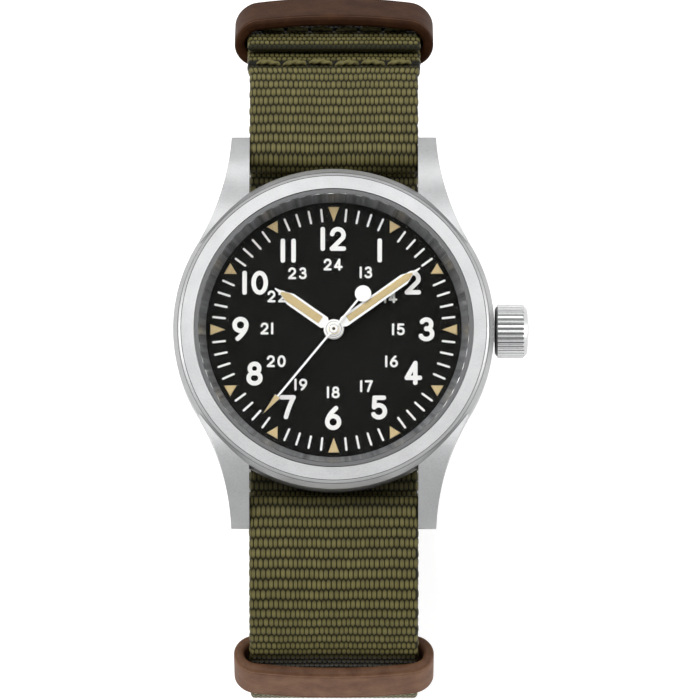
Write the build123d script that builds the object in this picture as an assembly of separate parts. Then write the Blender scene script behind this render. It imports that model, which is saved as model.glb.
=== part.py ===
from build123d import *
import math
import os

# Field watch on a woven strap, in millimetres. The origin is the centre of the wrist opening, on the
# dial's axis. +X points to the crown, +Y to 12 on the dial, +Z out of the dial.

# General fits
over = 1.0  # overrun of every cut
fit = 0.03  # running fit of arbors, pivots and tubes
gap = 0.05  # gap between neighbours that don't touch
seat_gap = 0.1  # gap between loose neighbours

# Case: its radii grow outwards from the movement's main plate, its levels rise from the case back
back_z = 23.6  # wrist face of the case back
back_t = 1.0  # case back plate
plate_r = 12.8  # main plate
holder_w = 1.25  # movement ring
dial_ledge = 1.75  # that the dial lies on
dial_play = 0.3  # round the dial in its bore
bezel_w = 1.8
bezel_in = 0.65  # from the flank in to the bezel
bezel_top = 2.9  # of the bezel above the dial
bezel_fall = 0.15  # of the bezel's top from its bore to its edge
bezel_edge = 0.25  # depth of the bezel's rounded edge
flank_top = 1.35  # of the flank above the dial
foot_in = 0.8  # of the flank's lower bevel
foot_rise = 1.0
back_rim_out = 1.25  # of the back's screwed rim outside the movement ring
back_rim_t = 0.7
back_rim_h = 1.2
rim_land = 0.5  # from the rim to the middle of the back's gasket
back_land = 1.0  # from there to the back's edge
back_notch_count = 6
back_notch_w = 2.2
back_notch_depth = 0.4
back_edge = 0.3
lug_gap = 20.0  # between the lugs
lug_root_turn = 33.19  # of a lug's root round the case, from the crown
lug_in = 1.4  # of a lug's inner end inside its root
lug_mid_in = 1.5  # of the middle of a lug's outer face, inside the flank's edge
lug_mid_t = 3.0  # thickness of a lug there
lug_tip_t = 2.15
lug_top = 1.5  # of a lug's root above the dial
lug_crest_out = 0.5  # of a lug's crest outside the flank
lug_crest_drop = 0.1  # below the dial
lug_tip_drop = 3.6
lug_foot_drop = 5.7
lug_past = 2.2  # of a lug's tip past the spring bar
lug_foot_past = 1.3
lug_edge = 0.35
bar_out = 2.3  # of the spring bars outside the flank
bar_rise = 1.8  # of the spring bars above the case back

# Crystal, gaskets and flange
crystal_t = 1.25
crystal_rise = 0.2  # above the bezel
crystal_edge = 0.22
gasket_t = 0.45
gasket_h = 1.0
flange_over = 0.76  # of the flange over the dial's edge
flange_wall = 0.28  # of the flange at its top
bore_gap = 0.05
groove_w = 0.6  # of the back's gasket
groove_h = 0.5

# Dial and hands
dial_t = 0.4
dial_hole_r = 1.05
foot_r = 0.35
foot_h = 0.6
foot_ring_in = 2.0  # of the dial's feet inside the main plate's edge
foot_turns = (75, 255)
hand_t = 0.15
hour_lift = 0.35  # of the hour hand above the dial
minute_lift = 0.75
second_lift = 1.15
second_t = 0.1
hour_len = 8.5
hour_w = 1.5
hour_hub_r = 1.2
hour_turn = 55.0  # from 12, anticlockwise
minute_len = 12.5
minute_w = 1.3
minute_hub_r = 1.08
minute_turn = -54.6
second_len = 13.0
second_w = 0.24
second_hub_r = 0.57
second_turn = 140.4
arrow_w = 0.75
arrow_len = 2.6
disc_r = 0.97  # counterweight of the seconds hand
disc_at = 5.43

# Movement plates, up from the case back
bridge_rise = 1.65  # of the bridges above the case back's inner face
bridge_t = 0.6
train_space = 1.6  # between the bridges and the main plate's web
web_t = 0.4
plate_t = 1.15
wheel_room = 0.1  # round a wheel in its recess
key_recess_x = 7.2
key_recess_y = 3.7
key_floor_t = 0.5
foot_w = 1.5  # width of the bridges' feet
arm_t = 0.12  # arm over the motion work
arm_w = 1.0
arm_len = 4.0
arm_turn = 60.0
screw_r = 0.3
screw_head_r = 0.6
screw_head_t = 0.25
screw_slot = 0.15
screw_depth = 0.35  # of a screw in the main plate
tube_r = 0.4  # fixed centre tube
tube_in_r = 0.27
tube_top = 0.35  # above the dial

# Going train: tooth counts and modules
train_module = 0.12
third_module = 0.12706
barrel_module = 0.125
escape_module = 0.1
motion_module = 0.125
wind_module = 0.2
barrel_teeth = 84
centre_teeth = 80
centre_leaves = 12
third_teeth = 75
third_leaves = 10
fourth_teeth = 96
fourth_leaves = 10
escape_leaves = 8
escape_teeth = 15
cannon_leaves = 12
minute_teeth = 36
minute_leaves = 10
hour_teeth = 40
setting_teeth = 22
ratchet_teeth = 48
crown_wheel_teeth = 24
winding_leaves = 14
barrel_at_r = 7.0
centre_at_r = 5.5
escape_turn = 245.0
minute_turn_at = 22.0
crown_wheel_x = 7.8
balance_at = (3.4, -7.3)
wheel_t = 0.12
arbor_r = 0.25
pivot_r = 0.1
pivot_in = 0.3  # depth of a pivot in its plate
jewel_r = 0.45
jewel_t = 0.25
rim_w = 0.5
hub_r = 0.8
spoke_w = 0.4
spokes = 5

# Levels of the train: how far each wheel lies above the bridges, or above what is named
third_lift = 0.17  # above the fourth wheel
centre_lift = 0.2  # above the third wheel
escape_lift = 0.28  # above the centre wheel
cannon_lift = 0.07  # above the main plate's web
minute_wheel_lift = 0.16  # above the cannon pinion's wheel
hour_wheel_lift = 0.2  # above the minute wheel
pinion_h = 0.22
barrel_lift = 0.7
barrel_h = 0.85
barrel_wall = 0.3
barrel_r = 4.9
barrel_floor = 0.15
barrel_lid = 0.12
barrel_teeth_lift = 0.4  # above the barrel's open side
barrel_teeth_t = 0.25
arbor_core_r = 1.3
arbor_post_r = 0.7
mainspring_t = 0.14
mainspring_turns = 7
ratchet_t = 0.32
wheel_pocket = 0.42
click_r = 0.75
click_len = 1.9
click_turn = -20.0
click_swing = 0.3  # of the click's nose in its pocket
wire_t = 0.14

# Escapement
escape_r = 2.1
pallet_at_r = 2.42
fork_len = 2.55
fork_w = 0.3
fork_slot = 0.32
fork_mouth_w = 0.9
pallet_span = 2.3
pallet_w = 0.3
stone_len = 0.45  # of a pallet stone past the lever
balance_r = 3.05
balance_rim = 0.4
balance_lift = 0.25
balance_t = 0.3
roller_lift = 0.46  # above the balance's underside
roller_t = 0.2
roller_r = 0.6
impulse_r = 0.1
impulse_at = 0.42
staff_r = 0.2
hairspring_h = 0.13
hairspring_t = 0.08
hairspring_r = 2.0
hairspring_in_r = 0.5
hairspring_turns = 8
shock_r = 0.85
shock_t = 0.35
pallet_bridge_lift = 0.27
pallet_bridge_t = 0.3
pallet_foot_at = 2.0
pallet_foot_r = 0.45

# Keyless work
stem_drop = 0.45  # of the stem's axis below the main plate's web
stem_r = 0.5
stem_past = 1.05  # of the stem's inner end past the sliding pinion
square_w = 0.64
sliding_x = 8.8
sliding_len = 1.0
sliding_r = 1.0
winding_len = 1.0
winding_r = 1.4
lever_pivot_out = 0.5  # of the setting lever's pivot from its pin
lever_pivot_y = 2.5
lever_pin_r = 0.2
lever_t = 0.3
lever_w = 0.7
stem_groove = 0.5
stem_groove_r = 0.3
yoke_reach = 3.2
yoke_w = 0.6
yoke_pin_r = 0.15
collar_w = 0.4
collar_r = 0.75

# Crown
crown_r = 3.19
crown_gap = 0.4  # between the case's flank and the crown
crown_len = 3.7
crown_grooves = 34
crown_groove = 0.17
crown_cavity_r = 1.75
crown_cavity = 1.9
crown_chamfer = 0.5
crown_dome = 0.22
crown_screw = 2.9  # depth of the stem in the crown
tube_out_r = 1.3
tube_bore_r = 0.62
tube_in = 0.85  # from the movement ring's bore to the tube
tube_out = 1.9  # of the tube outside the flank
crown_gasket_t = 0.35
crown_gasket_w = 0.9
crown_gasket_in = 0.35  # inside the crown

# Spring bars
bar_r = 0.9
bar_wall = 0.2
bar_end_gap = 0.5  # between a bar's tube and a lug
pin_r = 0.45
pin_out = 1.0  # of a pin in its lug
pin_shoulder_r = 0.66
pin_shoulder = 1.6
bar_coil_r = 0.5
bar_coil_wire_r = 0.09
bar_coil_turns = 12

# Strap, buckle and keepers
strap_side_gap = 0.2  # between the strap and a lug
strap_t = 1.1
layer_gap = 0.3
bar_wrap_gap = 0.05
under_gap = 0.2  # between the case back and the strap
side_out12 = 18.4  # of the strap's widest part outside the bar, 12 side
side_out6 = 20.0
bottom_z = -21.55  # outer face of the strap's lowest run
shoulder12 = ((12.38, -0.59), (6.94, 3.36), (0.0, 16.36))  # in from the widest part, down from the bar
shoulder6 = ((9.62, -0.24), (4.01, 4.82), (0.0, 18.9))
shoulder_r12 = (15.5, 14.8, 20.0)
shoulder_r6 = (12.0, 11.8, 20.0)
low_side_z = -4.0
low_in12 = 16.7  # of the lowest run's end inside the widest part
low_in6 = 17.3
low_r = 17.5
bend_r = 1.5
tail_up = 14.2  # of the tail above the strap's widest corner
buckle_y = 5.0  # the buckle's bar
buckle_bar_r = 0.8
return_len = 4.3  # of the folded end past the buckle's bar
step_y = 1.6  # where the tail steps between its layers
step_r = 1.2
hole_r = 0.9
hole_count = 4
hole_pitch = 6.0
hole_first = 7.5  # from the tongue's hole to the next
flap_gap = 0.3
flap_start = 3.0  # of the flap's seam below its first bend
flap_end = 1.0  # of the flap past its keeper
flap_r = 4.0
flap_out_y = 3.0  # from the bars to the flap's level run
keeper_w = 6.0
keeper_t = 1.2
keeper_side_gap = 0.9  # beside the strap in a keeper
keeper_side = 1.25  # of a keeper's rounded ends
keeper_gap = 0.15  # between a keeper's inner wall and the strap
keeper_slack = 0.3  # of the floating keeper round its two layers
keeper12_up = 6.0  # of the floating keeper above the strap's widest corner
keeper6_down = 5.2  # of the 6 side's keeper below the strap's shoulder
keeper_edge = 0.25
frame_arm = 1.6
frame_gap = 0.4
frame_reach = 12.0  # from the bar to the front bar
frame_back = 2.2  # of the arms behind the bar
frame_bar = 2.2
frame_edge = 0.5
frame_rise = 0.5  # of the arms round the bar
stand_gap = 0.3
tongue_w = 1.5
tongue_t = 0.9
tongue_hub_t = 0.8
tongue_level = 0.25  # of the tongue above the strap
tongue_drop = 7.2  # from the bar to where the tongue bends down through the strap
tongue_rest = 0.9  # of the tongue's tip inside the front bar's outer face
tongue_past = 0.4
tongue_hole = 2.9
tongue_room = 0.4  # of the hole behind the tongue
tongue_bend_r = 0.8

# Radii that follow, outwards from the main plate
holder_in_r = plate_r + gap
holder_r = holder_in_r + holder_w
ring_bore_r = holder_r + gap
dial_r = ring_bore_r + dial_ledge
flange_r = dial_r + dial_play
flange_in_r = dial_r - flange_over
flange_top_r = flange_r - flange_wall
crystal_r = dial_r + bore_gap
bezel_in_r = crystal_r + bore_gap + gasket_t + seat_gap
bezel_r = bezel_in_r + bezel_w
case_r = bezel_r + bezel_in
back_rim_r = ring_bore_r + back_rim_out
groove_r = back_rim_r + rim_land
back_r = groove_r + back_land
foot_ring_r = plate_r - foot_ring_in
bar_y = case_r + bar_out

# Levels that follow, up from the case back
back_inner_z = back_z + back_t
bridge_z = back_inner_z + bridge_rise
bridge_top = bridge_z + bridge_t
web_z = bridge_top + train_space
recess_z = web_z + web_t
key_floor_z = web_z + key_floor_t
dial_under = web_z + plate_t
dial_z = dial_under + dial_t
bezel_z = dial_z + bezel_top
crystal_top = bezel_z + crystal_rise
crystal_under = crystal_top - crystal_t
bar_z = back_z + bar_rise
stem_z = web_z - stem_drop
lever_z = key_floor_z + seat_gap
fourth_z = bridge_top + seat_gap
third_z = fourth_z + third_lift
centre_z = third_z + centre_lift
escape_z = centre_z + escape_lift
cannon_z = recess_z + cannon_lift
minute_z = cannon_z + minute_wheel_lift
hour_z = minute_z + hour_wheel_lift
ratchet_z = bridge_z + gap
barrel_z = bridge_top + barrel_lift
barrel_teeth_z = barrel_z + barrel_teeth_lift
balance_z = bridge_top + balance_lift
roller_z = balance_z + roller_lift
hairspring_z = bridge_top + gap
pallet_bridge_z = bridge_top + pallet_bridge_lift
pivot_top = web_z + pivot_in
pivot_bottom = bridge_top - pivot_in

os.makedirs("parts", exist_ok=True)


def save(name, shape):
    """Write one node."""
    export_step(shape, f"parts/{name}.step")


def disc(radius, low, high, at=(0, 0)):
    """An upright disc between two levels."""
    upright = (Align.CENTER, Align.CENTER, Align.MIN)
    return Pos(at[0], at[1], low) * Cylinder(radius, high - low, align=upright)


def ring(radius, bore, low, high, at=(0, 0)):
    """An upright ring between two levels."""
    return disc(radius, low, high, at) - disc(bore, low - over, high + over, at)


def rod_x(radius, x_low, x_high, y=0, z=stem_z):
    """A rod along X."""
    upright = (Align.CENTER, Align.CENTER, Align.MIN)
    return Pos(x_low, y, z) * Rot(0, 90, 0) * Cylinder(radius, x_high - x_low, align=upright)


def block(x_low, x_high, y_low, y_high, z_low, z_high):
    """A box between six planes."""
    middle = Pos((x_low + x_high) / 2, (y_low + y_high) / 2, (z_low + z_high) / 2)
    return middle * Box(x_high - x_low, y_high - y_low, z_high - z_low)


def lathe(*points):
    """A solid turned about the dial's axis from (radius, level) points."""
    return revolve(make_face(Plane.XZ * Polyline(*points, close=True)), Axis.Z)


def plate(points, low, high):
    """An upright plate with the outline given."""
    outline = make_face(Plane.XY.offset(low) * Polyline(*points, close=True))
    return extrude(outline, high - low, dir=(0, 0, 1))


def polar(radius, turn, at=(0, 0)):
    """The point at a radius and a turn in degrees."""
    angle = math.radians(turn)
    return (at[0] + radius * math.cos(angle), at[1] + radius * math.sin(angle))


def between(a, b, ra, rb, side):
    """The point at distance ra from a and rb from b, on the left (1) or right (-1) of a to b."""
    length = math.dist(a, b)
    along = (length**2 + ra**2 - rb**2) / (2 * length)
    off = side * math.sqrt(ra**2 - along**2)
    ux, uy = (b[0] - a[0]) / length, (b[1] - a[1]) / length
    return (a[0] + along * ux - off * uy, a[1] + along * uy + off * ux)


def turn_of(a, b):
    """The direction from a to b in degrees."""
    return math.degrees(math.atan2(b[1] - a[1], b[0] - a[0]))


# Half widths of a tooth as shares of the pitch, and its height as shares of the module
tooth_root_share = 0.24
tooth_tip_share = 0.1
tooth_out_share = 0.85
tooth_in_share = 1.1


def gear(teeth, module, low, high, at=(0, 0), face_turn=0.0, tooth=True):
    """A toothed disc with a tooth, or a gap, facing the turn given."""
    pitch = 360 / teeth
    outer = module * (teeth / 2 + tooth_out_share)
    inner = module * (teeth / 2 - tooth_in_share)
    start = face_turn if tooth else face_turn + pitch / 2
    points = []
    for i in range(teeth):
        middle = start + i * pitch
        points.append(polar(inner, middle - tooth_root_share * pitch, at))
        points.append(polar(outer, middle - tooth_tip_share * pitch, at))
        points.append(polar(outer, middle + tooth_tip_share * pitch, at))
        points.append(polar(inner, middle + tooth_root_share * pitch, at))
    return plate(points, low, high)


def spoked(wheel, radius, low, high, at):
    """Cut the windows of a wheel and leave its rim, hub and spokes."""
    window = ring(radius - rim_w, hub_r, low - over, high + over, at)
    for i in range(spokes):
        bar = block(0, radius, -spoke_w / 2, spoke_w / 2, low - over, high + over)
        window -= Pos(at[0], at[1], 0) * Rot(0, 0, i * 360 / spokes) * bar
    return wheel - window


def arbor(at, low, high, pivot_low, pivot_high):
    """A shaft with a pivot at each end."""
    return disc(arbor_r, low, high, at) + disc(pivot_r, pivot_low, pivot_high, at)


# Places of the movement's arbors and levers
centre = (0, 0)
wind_distance = wind_module * (ratchet_teeth + crown_wheel_teeth) / 2
train_distance = train_module * (centre_teeth + third_leaves) / 2
barrel_distance = barrel_module * (barrel_teeth + centre_leaves) / 2
motion_distance = motion_module * (cannon_leaves + minute_teeth) / 2
setting_distance = motion_module * (minute_teeth + setting_teeth) / 2
escape_distance = escape_module * (fourth_teeth + escape_leaves) / 2
crown_wheel_at = (crown_wheel_x, 0)
barrel_at = between(centre, crown_wheel_at, barrel_at_r, wind_distance, 1)
centre_at = between(centre, barrel_at, centre_at_r, barrel_distance, 1)
third_at = between(centre, centre_at, train_distance, train_distance, 1)
escape_at = polar(escape_distance, escape_turn)
pallet_at = polar(pallet_at_r, turn_of(escape_at, balance_at), escape_at)
minute_at = polar(motion_distance, minute_turn_at)
setting_at = (minute_at[0] + math.sqrt(setting_distance**2 - minute_at[1] ** 2), 0)
stem_in_x = sliding_x - stem_past
winding_x = sliding_x + sliding_len + seat_gap
lever_pin_x = winding_x + winding_len + stem_groove
lever_pivot = (lever_pin_x + lever_pivot_out, lever_pivot_y)
yoke_pivot = (sliding_x + sliding_len / 2, -yoke_reach)
line_turn = turn_of(escape_at, balance_at)
pallet_feet = [polar(s * pallet_foot_at, line_turn + 90, pallet_at) for s in (-1, 1)]


# Case

def lug(side_x, side_y):
    """One lug: a side profile extruded in X and trimmed by a plan outline."""
    root_x, root_y = polar(case_r, lug_root_turn)
    lug_in_y = root_y - lug_in
    tip_y = bar_y + lug_past
    root = (lug_in_y, dial_z + lug_top)
    crest = (case_r + lug_crest_out, dial_z - lug_crest_drop)
    tip = (tip_y, dial_z - lug_tip_drop)
    foot = (bar_y + lug_foot_past, dial_z - lug_foot_drop)
    heel = (lug_in_y, back_inner_z)
    top = Plane.YZ * ThreePointArc(root, crest, tip)
    nose = Plane.YZ * Line(tip, foot)
    rest = Plane.YZ * Polyline(foot, heel, root)
    side = extrude(make_face(top + nose + rest), case_r, dir=(1, 0, 0))
    inner = lug_gap / 2
    outer_tip = (inner + lug_tip_t, tip_y)
    outer_mid = (inner + lug_mid_t, case_r - lug_mid_in)
    outer = ThreePointArc(outer_tip, outer_mid, (root_x, root_y))
    walls = Polyline((root_x, root_y), (root_x, lug_in_y), (inner, lug_in_y))
    inside = Polyline((inner, lug_in_y), (inner, tip_y), outer_tip)
    plan = extrude(make_face(outer + walls + inside), bezel_z, dir=(0, 0, 1))
    body = side & plan
    body = chamfer(body.edges().filter_by(Axis.X).sort_by(Axis.Y)[-1], lug_edge)
    if side_x < 0:
        body = mirror(body, Plane.YZ)
    if side_y < 0:
        body = mirror(body, Plane.XZ)
    return body


def case_middle():
    """The case with its lugs, bored from both sides."""
    edge_z = bezel_z - bezel_fall
    body = lathe(
        (0, back_inner_z),
        (case_r - foot_in, back_inner_z),
        (case_r, back_inner_z + foot_rise),
        (case_r, dial_z + flank_top),
        (bezel_r, edge_z - bezel_edge),
        (bezel_r - bezel_edge, edge_z),
        (bezel_in_r, bezel_z),
        (0, bezel_z),
    )
    for side_x in (-1, 1):
        for side_y in (-1, 1):
            body += lug(side_x, side_y)
    body -= disc(back_r + seat_gap, back_z, back_inner_z)
    body -= disc(bezel_in_r, crystal_under - gap, bezel_z + over)
    body -= disc(flange_r + bore_gap, dial_under, crystal_under)
    body -= disc(ring_bore_r, back_inner_z - over, dial_under + gap)
    body -= disc(back_rim_r + bore_gap, back_inner_z - over, back_inner_z + back_rim_h + gap)
    groove_out = groove_r + groove_w / 2
    groove_in = groove_r - groove_w / 2
    body -= ring(groove_out, groove_in, back_inner_z - over, back_inner_z + groove_h)
    body -= rod_x(tube_out_r + fit, ring_bore_r - over, case_r + over)
    for side_y in (-1, 1):
        reach = lug_gap / 2 + pin_out + seat_gap
        body -= rod_x(pin_r + gap, -reach, reach, side_y * bar_y, bar_z)
    return body


def case_back():
    """The screwed back: a plate with a rim and notches for the key."""
    body = lathe(
        (0, back_z),
        (back_r - back_edge, back_z),
        (back_r, back_z + back_edge),
        (back_r, back_inner_z),
        (0, back_inner_z),
    )
    body += ring(back_rim_r, back_rim_r - back_rim_t, back_inner_z, back_inner_z + back_rim_h)
    for i in range(back_notch_count):
        low, high = back_z - over, back_z + back_notch_depth
        half = back_notch_w / 2
        notch = block(back_r - half, back_r + over, -half, half, low, high)
        body -= Rot(0, 0, i * 360 / back_notch_count) * notch
    return body


save("case_middle", case_middle())
save("case_back", case_back())
groove_low = back_inner_z + gap
groove_high = back_inner_z + groove_h - gap
back_gasket_r = groove_r + groove_w / 2 - gap
save("case_back_gasket", ring(back_gasket_r, groove_r - groove_w / 2 + gap, groove_low, groove_high))
crystal = disc(crystal_r, crystal_under, crystal_top)
save("crystal", chamfer(crystal.edges().group_by(Axis.Z)[-1], crystal_edge))
gasket_in_r = crystal_r + bore_gap
save("crystal_gasket", ring(gasket_in_r + gasket_t, gasket_in_r, crystal_under, crystal_under + gasket_h))
flange_low = dial_z + gap
flange_high = crystal_under - gap
flange_points = ((flange_in_r, flange_low), (flange_top_r, flange_high), (flange_r, flange_high))
save("inner_flange", lathe(*flange_points, (flange_r, flange_low)))
holder = ring(holder_r, holder_in_r, bridge_z, dial_under)
save("movement_ring", holder - rod_x(stem_r + seat_gap, 0, case_r))

# Dial and hands

def dial():
    """The dial plate on its two feet."""
    body = ring(dial_r, dial_hole_r, dial_under, dial_z)
    for turn in foot_turns:
        body += disc(foot_r, dial_under - foot_h, dial_under, polar(foot_ring_r, turn))
    return body


# Outlines of the hands: shares of the length along the hand, and of the width across it
hour_shares = ((0.13, 0.34), (0.16, 0.5), (0.74, 0.5), (0.87, 0.17), (1.0, 0.05))
minute_shares = ((0.09, 0.34), (0.12, 0.5), (0.82, 0.5), (0.9, 0.17), (1.0, 0.06))


def framed_hand(length, width, shares, hub, bore, low, turn):
    """A pointed hand on a round hub, set to its time."""
    right = [(width * w, length * s) for s, w in shares]
    left = [(-x, y) for x, y in reversed(right)]
    neck = width * shares[0][1]
    blade = plate([(neck, 0), *right, *left, (-neck, 0)], low, low + hand_t)
    hand = blade + disc(hub, low, low + hand_t) - disc(bore, low - over, low + hand_t + over)
    return Rot(0, 0, turn) * hand


def second_hand():
    """A needle with an arrow at its tip and a disc behind the hub."""
    low = dial_z + second_lift
    high = low + second_t
    half = second_w / 2
    arrow_root = second_len - arrow_len
    body = block(-half, half, -disc_at, second_len - arrow_len / 2, low, high)
    body += plate([(-arrow_w / 2, arrow_root), (arrow_w / 2, arrow_root), (0, second_len)], low, high)
    body += disc(disc_r, low, high, (0, -disc_at)) + disc(second_hub_r, low, high)
    body -= disc(staff_r + fit, low - over, high + over)
    return Rot(0, 0, second_turn) * body


cannon_r = tube_r + fit + hand_t + gap
hour_tube_in_r = cannon_r + fit
hour_tube_r = dial_hole_r - seat_gap
hour_low = dial_z + hour_lift
minute_low = dial_z + minute_lift
save("dial", dial())
save("hour_hand", framed_hand(hour_len, hour_w, hour_shares, hour_hub_r, hour_tube_r, hour_low, hour_turn))
save(
    "minute_hand",
    framed_hand(minute_len, minute_w, minute_shares, minute_hub_r, cannon_r, minute_low, minute_turn),
)
save("second_hand", second_hand())

# Movement plates

def sector(low_turn, high_turn, inner, outer, low, high):
    """A foot of a bridge: part of a ring between two turns."""
    reach = outer * 2
    arms = [(0, 0), polar(reach, low_turn), polar(reach, high_turn)]
    return ring(outer, inner, low, high) & plate(arms, low, high)


# Plan outlines of the bridges as shares of the plate's radius, and their feet and screws in degrees
barrel_bridge_shares = ((-0.11, 0.27), (-0.11, 1.2), (1.2, 1.2), (1.2, -0.25), (0.3, -0.25), (0.11, 0.11))
train_bridge_shares = (
    (-0.125, 1.2),
    (-0.125, 0.25),
    (0.08, 0.095),
    (0.12, -0.05),
    (0.08, -0.28),
    (-0.06, -0.27),
    (-0.1, -0.52),
    (-0.38, -0.95),
    (-1.2, -1.2),
    (-1.2, 1.2),
)
cock_shares = ((0.18, -0.48), (0.36, -0.48), (0.6, -1.2), (0.02, -1.2))
barrel_feet = ((24, 33), (86, 94))
train_feet = ((142, 158), (192, 208), (232, 244))
cock_feet = ((282, 302),)
train_jewels = (centre, third_at, centre_at, escape_at)


def screw_places():
    """The middle of each bridge foot."""
    feet = barrel_feet + train_feet + cock_feet
    return [polar(plate_r - foot_w / 2 - seat_gap, (a + b) / 2) for a, b in feet]


def bridge(shares, feet, jewels):
    """A bridge: its plate, its feet up to the main plate, its screw holes and its jewel holes."""
    outline = [(plate_r * x, plate_r * y) for x, y in shares]
    body = plate(outline, bridge_z, bridge_top) & disc(plate_r - gap, bridge_z, bridge_top)
    for low_turn, high_turn in feet:
        body += sector(low_turn, high_turn, plate_r - foot_w, plate_r - gap, bridge_top - gap, web_z)
    for at in screw_places():
        body -= disc(screw_r + fit, bridge_z - over, web_z + over, at)
        body -= disc(screw_head_r + fit, bridge_z - over, bridge_z + screw_head_t + fit, at)
    for at in jewels:
        body -= disc(jewel_r, bridge_top - jewel_t, bridge_top + over, at)
        body -= disc(pivot_r + fit, bridge_top - pivot_in - gap, bridge_top, at)
    return body


ratchet_r = wind_module * ratchet_teeth / 2
crown_wheel_r = wind_module * crown_wheel_teeth / 2
pocket_z = bridge_z + wheel_pocket
click_at = polar(ratchet_r + click_len, click_turn, barrel_at)


def barrel_bridge():
    """The barrel's bridge, with pockets for the winding wheels and a window for the winding pinion."""
    body = bridge(barrel_bridge_shares, barrel_feet, ())
    low, high = bridge_z - over, pocket_z
    body -= disc(ratchet_r + wind_module + gap, low, high, barrel_at)
    body -= disc(crown_wheel_r + wind_module + gap, low, high, crown_wheel_at)
    body -= disc(click_r + seat_gap, low, high, click_at)
    half = spoke_w / 2 + click_swing
    slot = block(ratchet_r, ratchet_r + click_len, -half, half, low, high)
    body -= Pos(barrel_at[0], barrel_at[1], 0) * Rot(0, 0, click_turn) * slot
    body -= disc(arbor_post_r + fit, pocket_z - over, bridge_top + over, barrel_at)
    window_x = winding_x + winding_len + seat_gap
    half = winding_r + seat_gap
    body -= block(winding_x - seat_gap, window_x, -half, half, bridge_z - over, bridge_top + over)
    body += disc(arbor_post_r, bridge_z + gap, pocket_z, crown_wheel_at)
    body += disc(screw_r, bridge_z + gap, pocket_z, click_at)
    return body


def balance_cock():
    """The balance's cock, bored for the shock setting."""
    body = bridge(cock_shares, cock_feet, ())
    return body - disc(shock_r, bridge_z - over, bridge_top + over, balance_at)


def motion_arm(high, room):
    """The arm over the motion work in plan, from its seat in the main plate to the minute wheel."""
    low = dial_under - arm_t
    half = arm_w / 2 + room
    arm = block(0, arm_len + room, -half, half, low, high)
    return Pos(*minute_at, 0) * Rot(0, 0, arm_turn) * arm + disc(half, low, high, minute_at)


def motion_bridge():
    """The arm with the minute wheel's post under its end."""
    return motion_arm(dial_under, 0) + disc(arbor_r, minute_z, dial_under - arm_t, minute_at)


def mainplate():
    """The main plate, recessed for the motion work and the keyless work, with its centre tube."""
    body = disc(plate_r, web_z, dial_under)
    wheels = (
        (train_module, centre_teeth, centre),
        (motion_module, minute_teeth, minute_at),
        (motion_module, setting_teeth, setting_at),
    )
    for module, teeth, at in wheels:
        room = module * (teeth / 2 + tooth_out_share) + wheel_room
        body -= disc(room, recess_z, dial_under + over, at)
    key_x = key_recess_x
    body -= block(key_x, plate_r + over, -key_recess_y, key_recess_y, key_floor_z, dial_under + over)
    half = winding_r + seat_gap
    out_x = winding_x + winding_len + seat_gap
    body -= block(stem_in_x - seat_gap, out_x, -half, half, web_z - over, dial_under + over)
    half = stem_r + seat_gap
    body -= block(out_x - gap, plate_r + over, -half, half, web_z - over, dial_under + over)
    body -= disc(pivot_r + fit + arbor_r, web_z - over, recess_z + over)
    body -= disc(arbor_r + train_module * third_leaves / 2, web_z - over, lever_z + gap, third_at)
    body -= disc(pivot_r + fit, web_z, dial_under - gap, third_at)
    for at in (centre_at, escape_at, pallet_at, balance_at):
        body -= disc(pivot_r + fit, web_z - over, pivot_top + gap, at)
    body -= disc(arbor_post_r - 2 * fit, web_z - over, recess_z - gap, barrel_at)
    body -= motion_arm(dial_under + over, fit)
    for turn in foot_turns:
        body -= disc(foot_r + gap, web_z - over, dial_under + over, polar(foot_ring_r, turn))
    for at in screw_places():
        body -= disc(screw_r + fit, web_z - over, web_z + screw_depth + gap, at)
    body += ring(tube_r, tube_in_r, web_z, dial_z + tube_top)
    body += disc(arbor_r, recess_z, minute_z + 2 * wheel_t, setting_at)
    return body


def screws():
    """The bridges' screws with slotted heads."""
    group = []
    for at in screw_places():
        head_z = bridge_z + screw_head_t
        screw = disc(screw_head_r, bridge_z, head_z, at) + disc(screw_r, head_z, web_z + screw_depth, at)
        slot = block(-screw_head_r, screw_head_r, -gap, gap, bridge_z - over, bridge_z + screw_slot)
        group.append(screw - Pos(at[0], at[1], 0) * slot)
    return Compound(children=group)


def pallet_bridge():
    """The small bridge over the pallet fork, on two feet."""
    low, high = pallet_bridge_z, pallet_bridge_z + pallet_bridge_t
    bar = block(-pallet_foot_at, pallet_foot_at, -pallet_foot_r, pallet_foot_r, low, high)
    body = Pos(pallet_at[0], pallet_at[1], 0) * Rot(0, 0, line_turn + 90) * bar
    for at in pallet_feet:
        body += disc(pallet_foot_r, low, web_z, at)
    return body - disc(pivot_r + fit, low - over, high + over, pallet_at)


def jewels():
    """The ruby bearings in the train bridge."""
    group = []
    for at in train_jewels:
        group.append(ring(jewel_r - gap / 2, pivot_r + fit, bridge_top - jewel_t, bridge_top, at))
    return Compound(children=group)


save("mainplate", mainplate())
save("barrel_bridge", barrel_bridge())
save("train_bridge", bridge(train_bridge_shares, train_feet, train_jewels))
save("balance_cock", balance_cock())
save("pallet_bridge", pallet_bridge())
save("motion_bridge", motion_bridge())
save("bridge_screws", screws())
save("jewels", jewels())

# Barrel and winding wheels

def barrel_drum():
    """The toothed drum, open towards the wrist."""
    teeth_high = barrel_teeth_z + barrel_teeth_t
    face = turn_of(barrel_at, centre_at)
    body = disc(barrel_r, barrel_z, barrel_z + barrel_h, barrel_at)
    body += gear(barrel_teeth, barrel_module, barrel_teeth_z, teeth_high, barrel_at, face, True)
    inner_high = barrel_z + barrel_h - barrel_floor
    body -= disc(barrel_r - barrel_wall, barrel_z - over, inner_high, barrel_at)
    return body - disc(arbor_post_r + fit, barrel_z - over, web_z, barrel_at)


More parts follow.
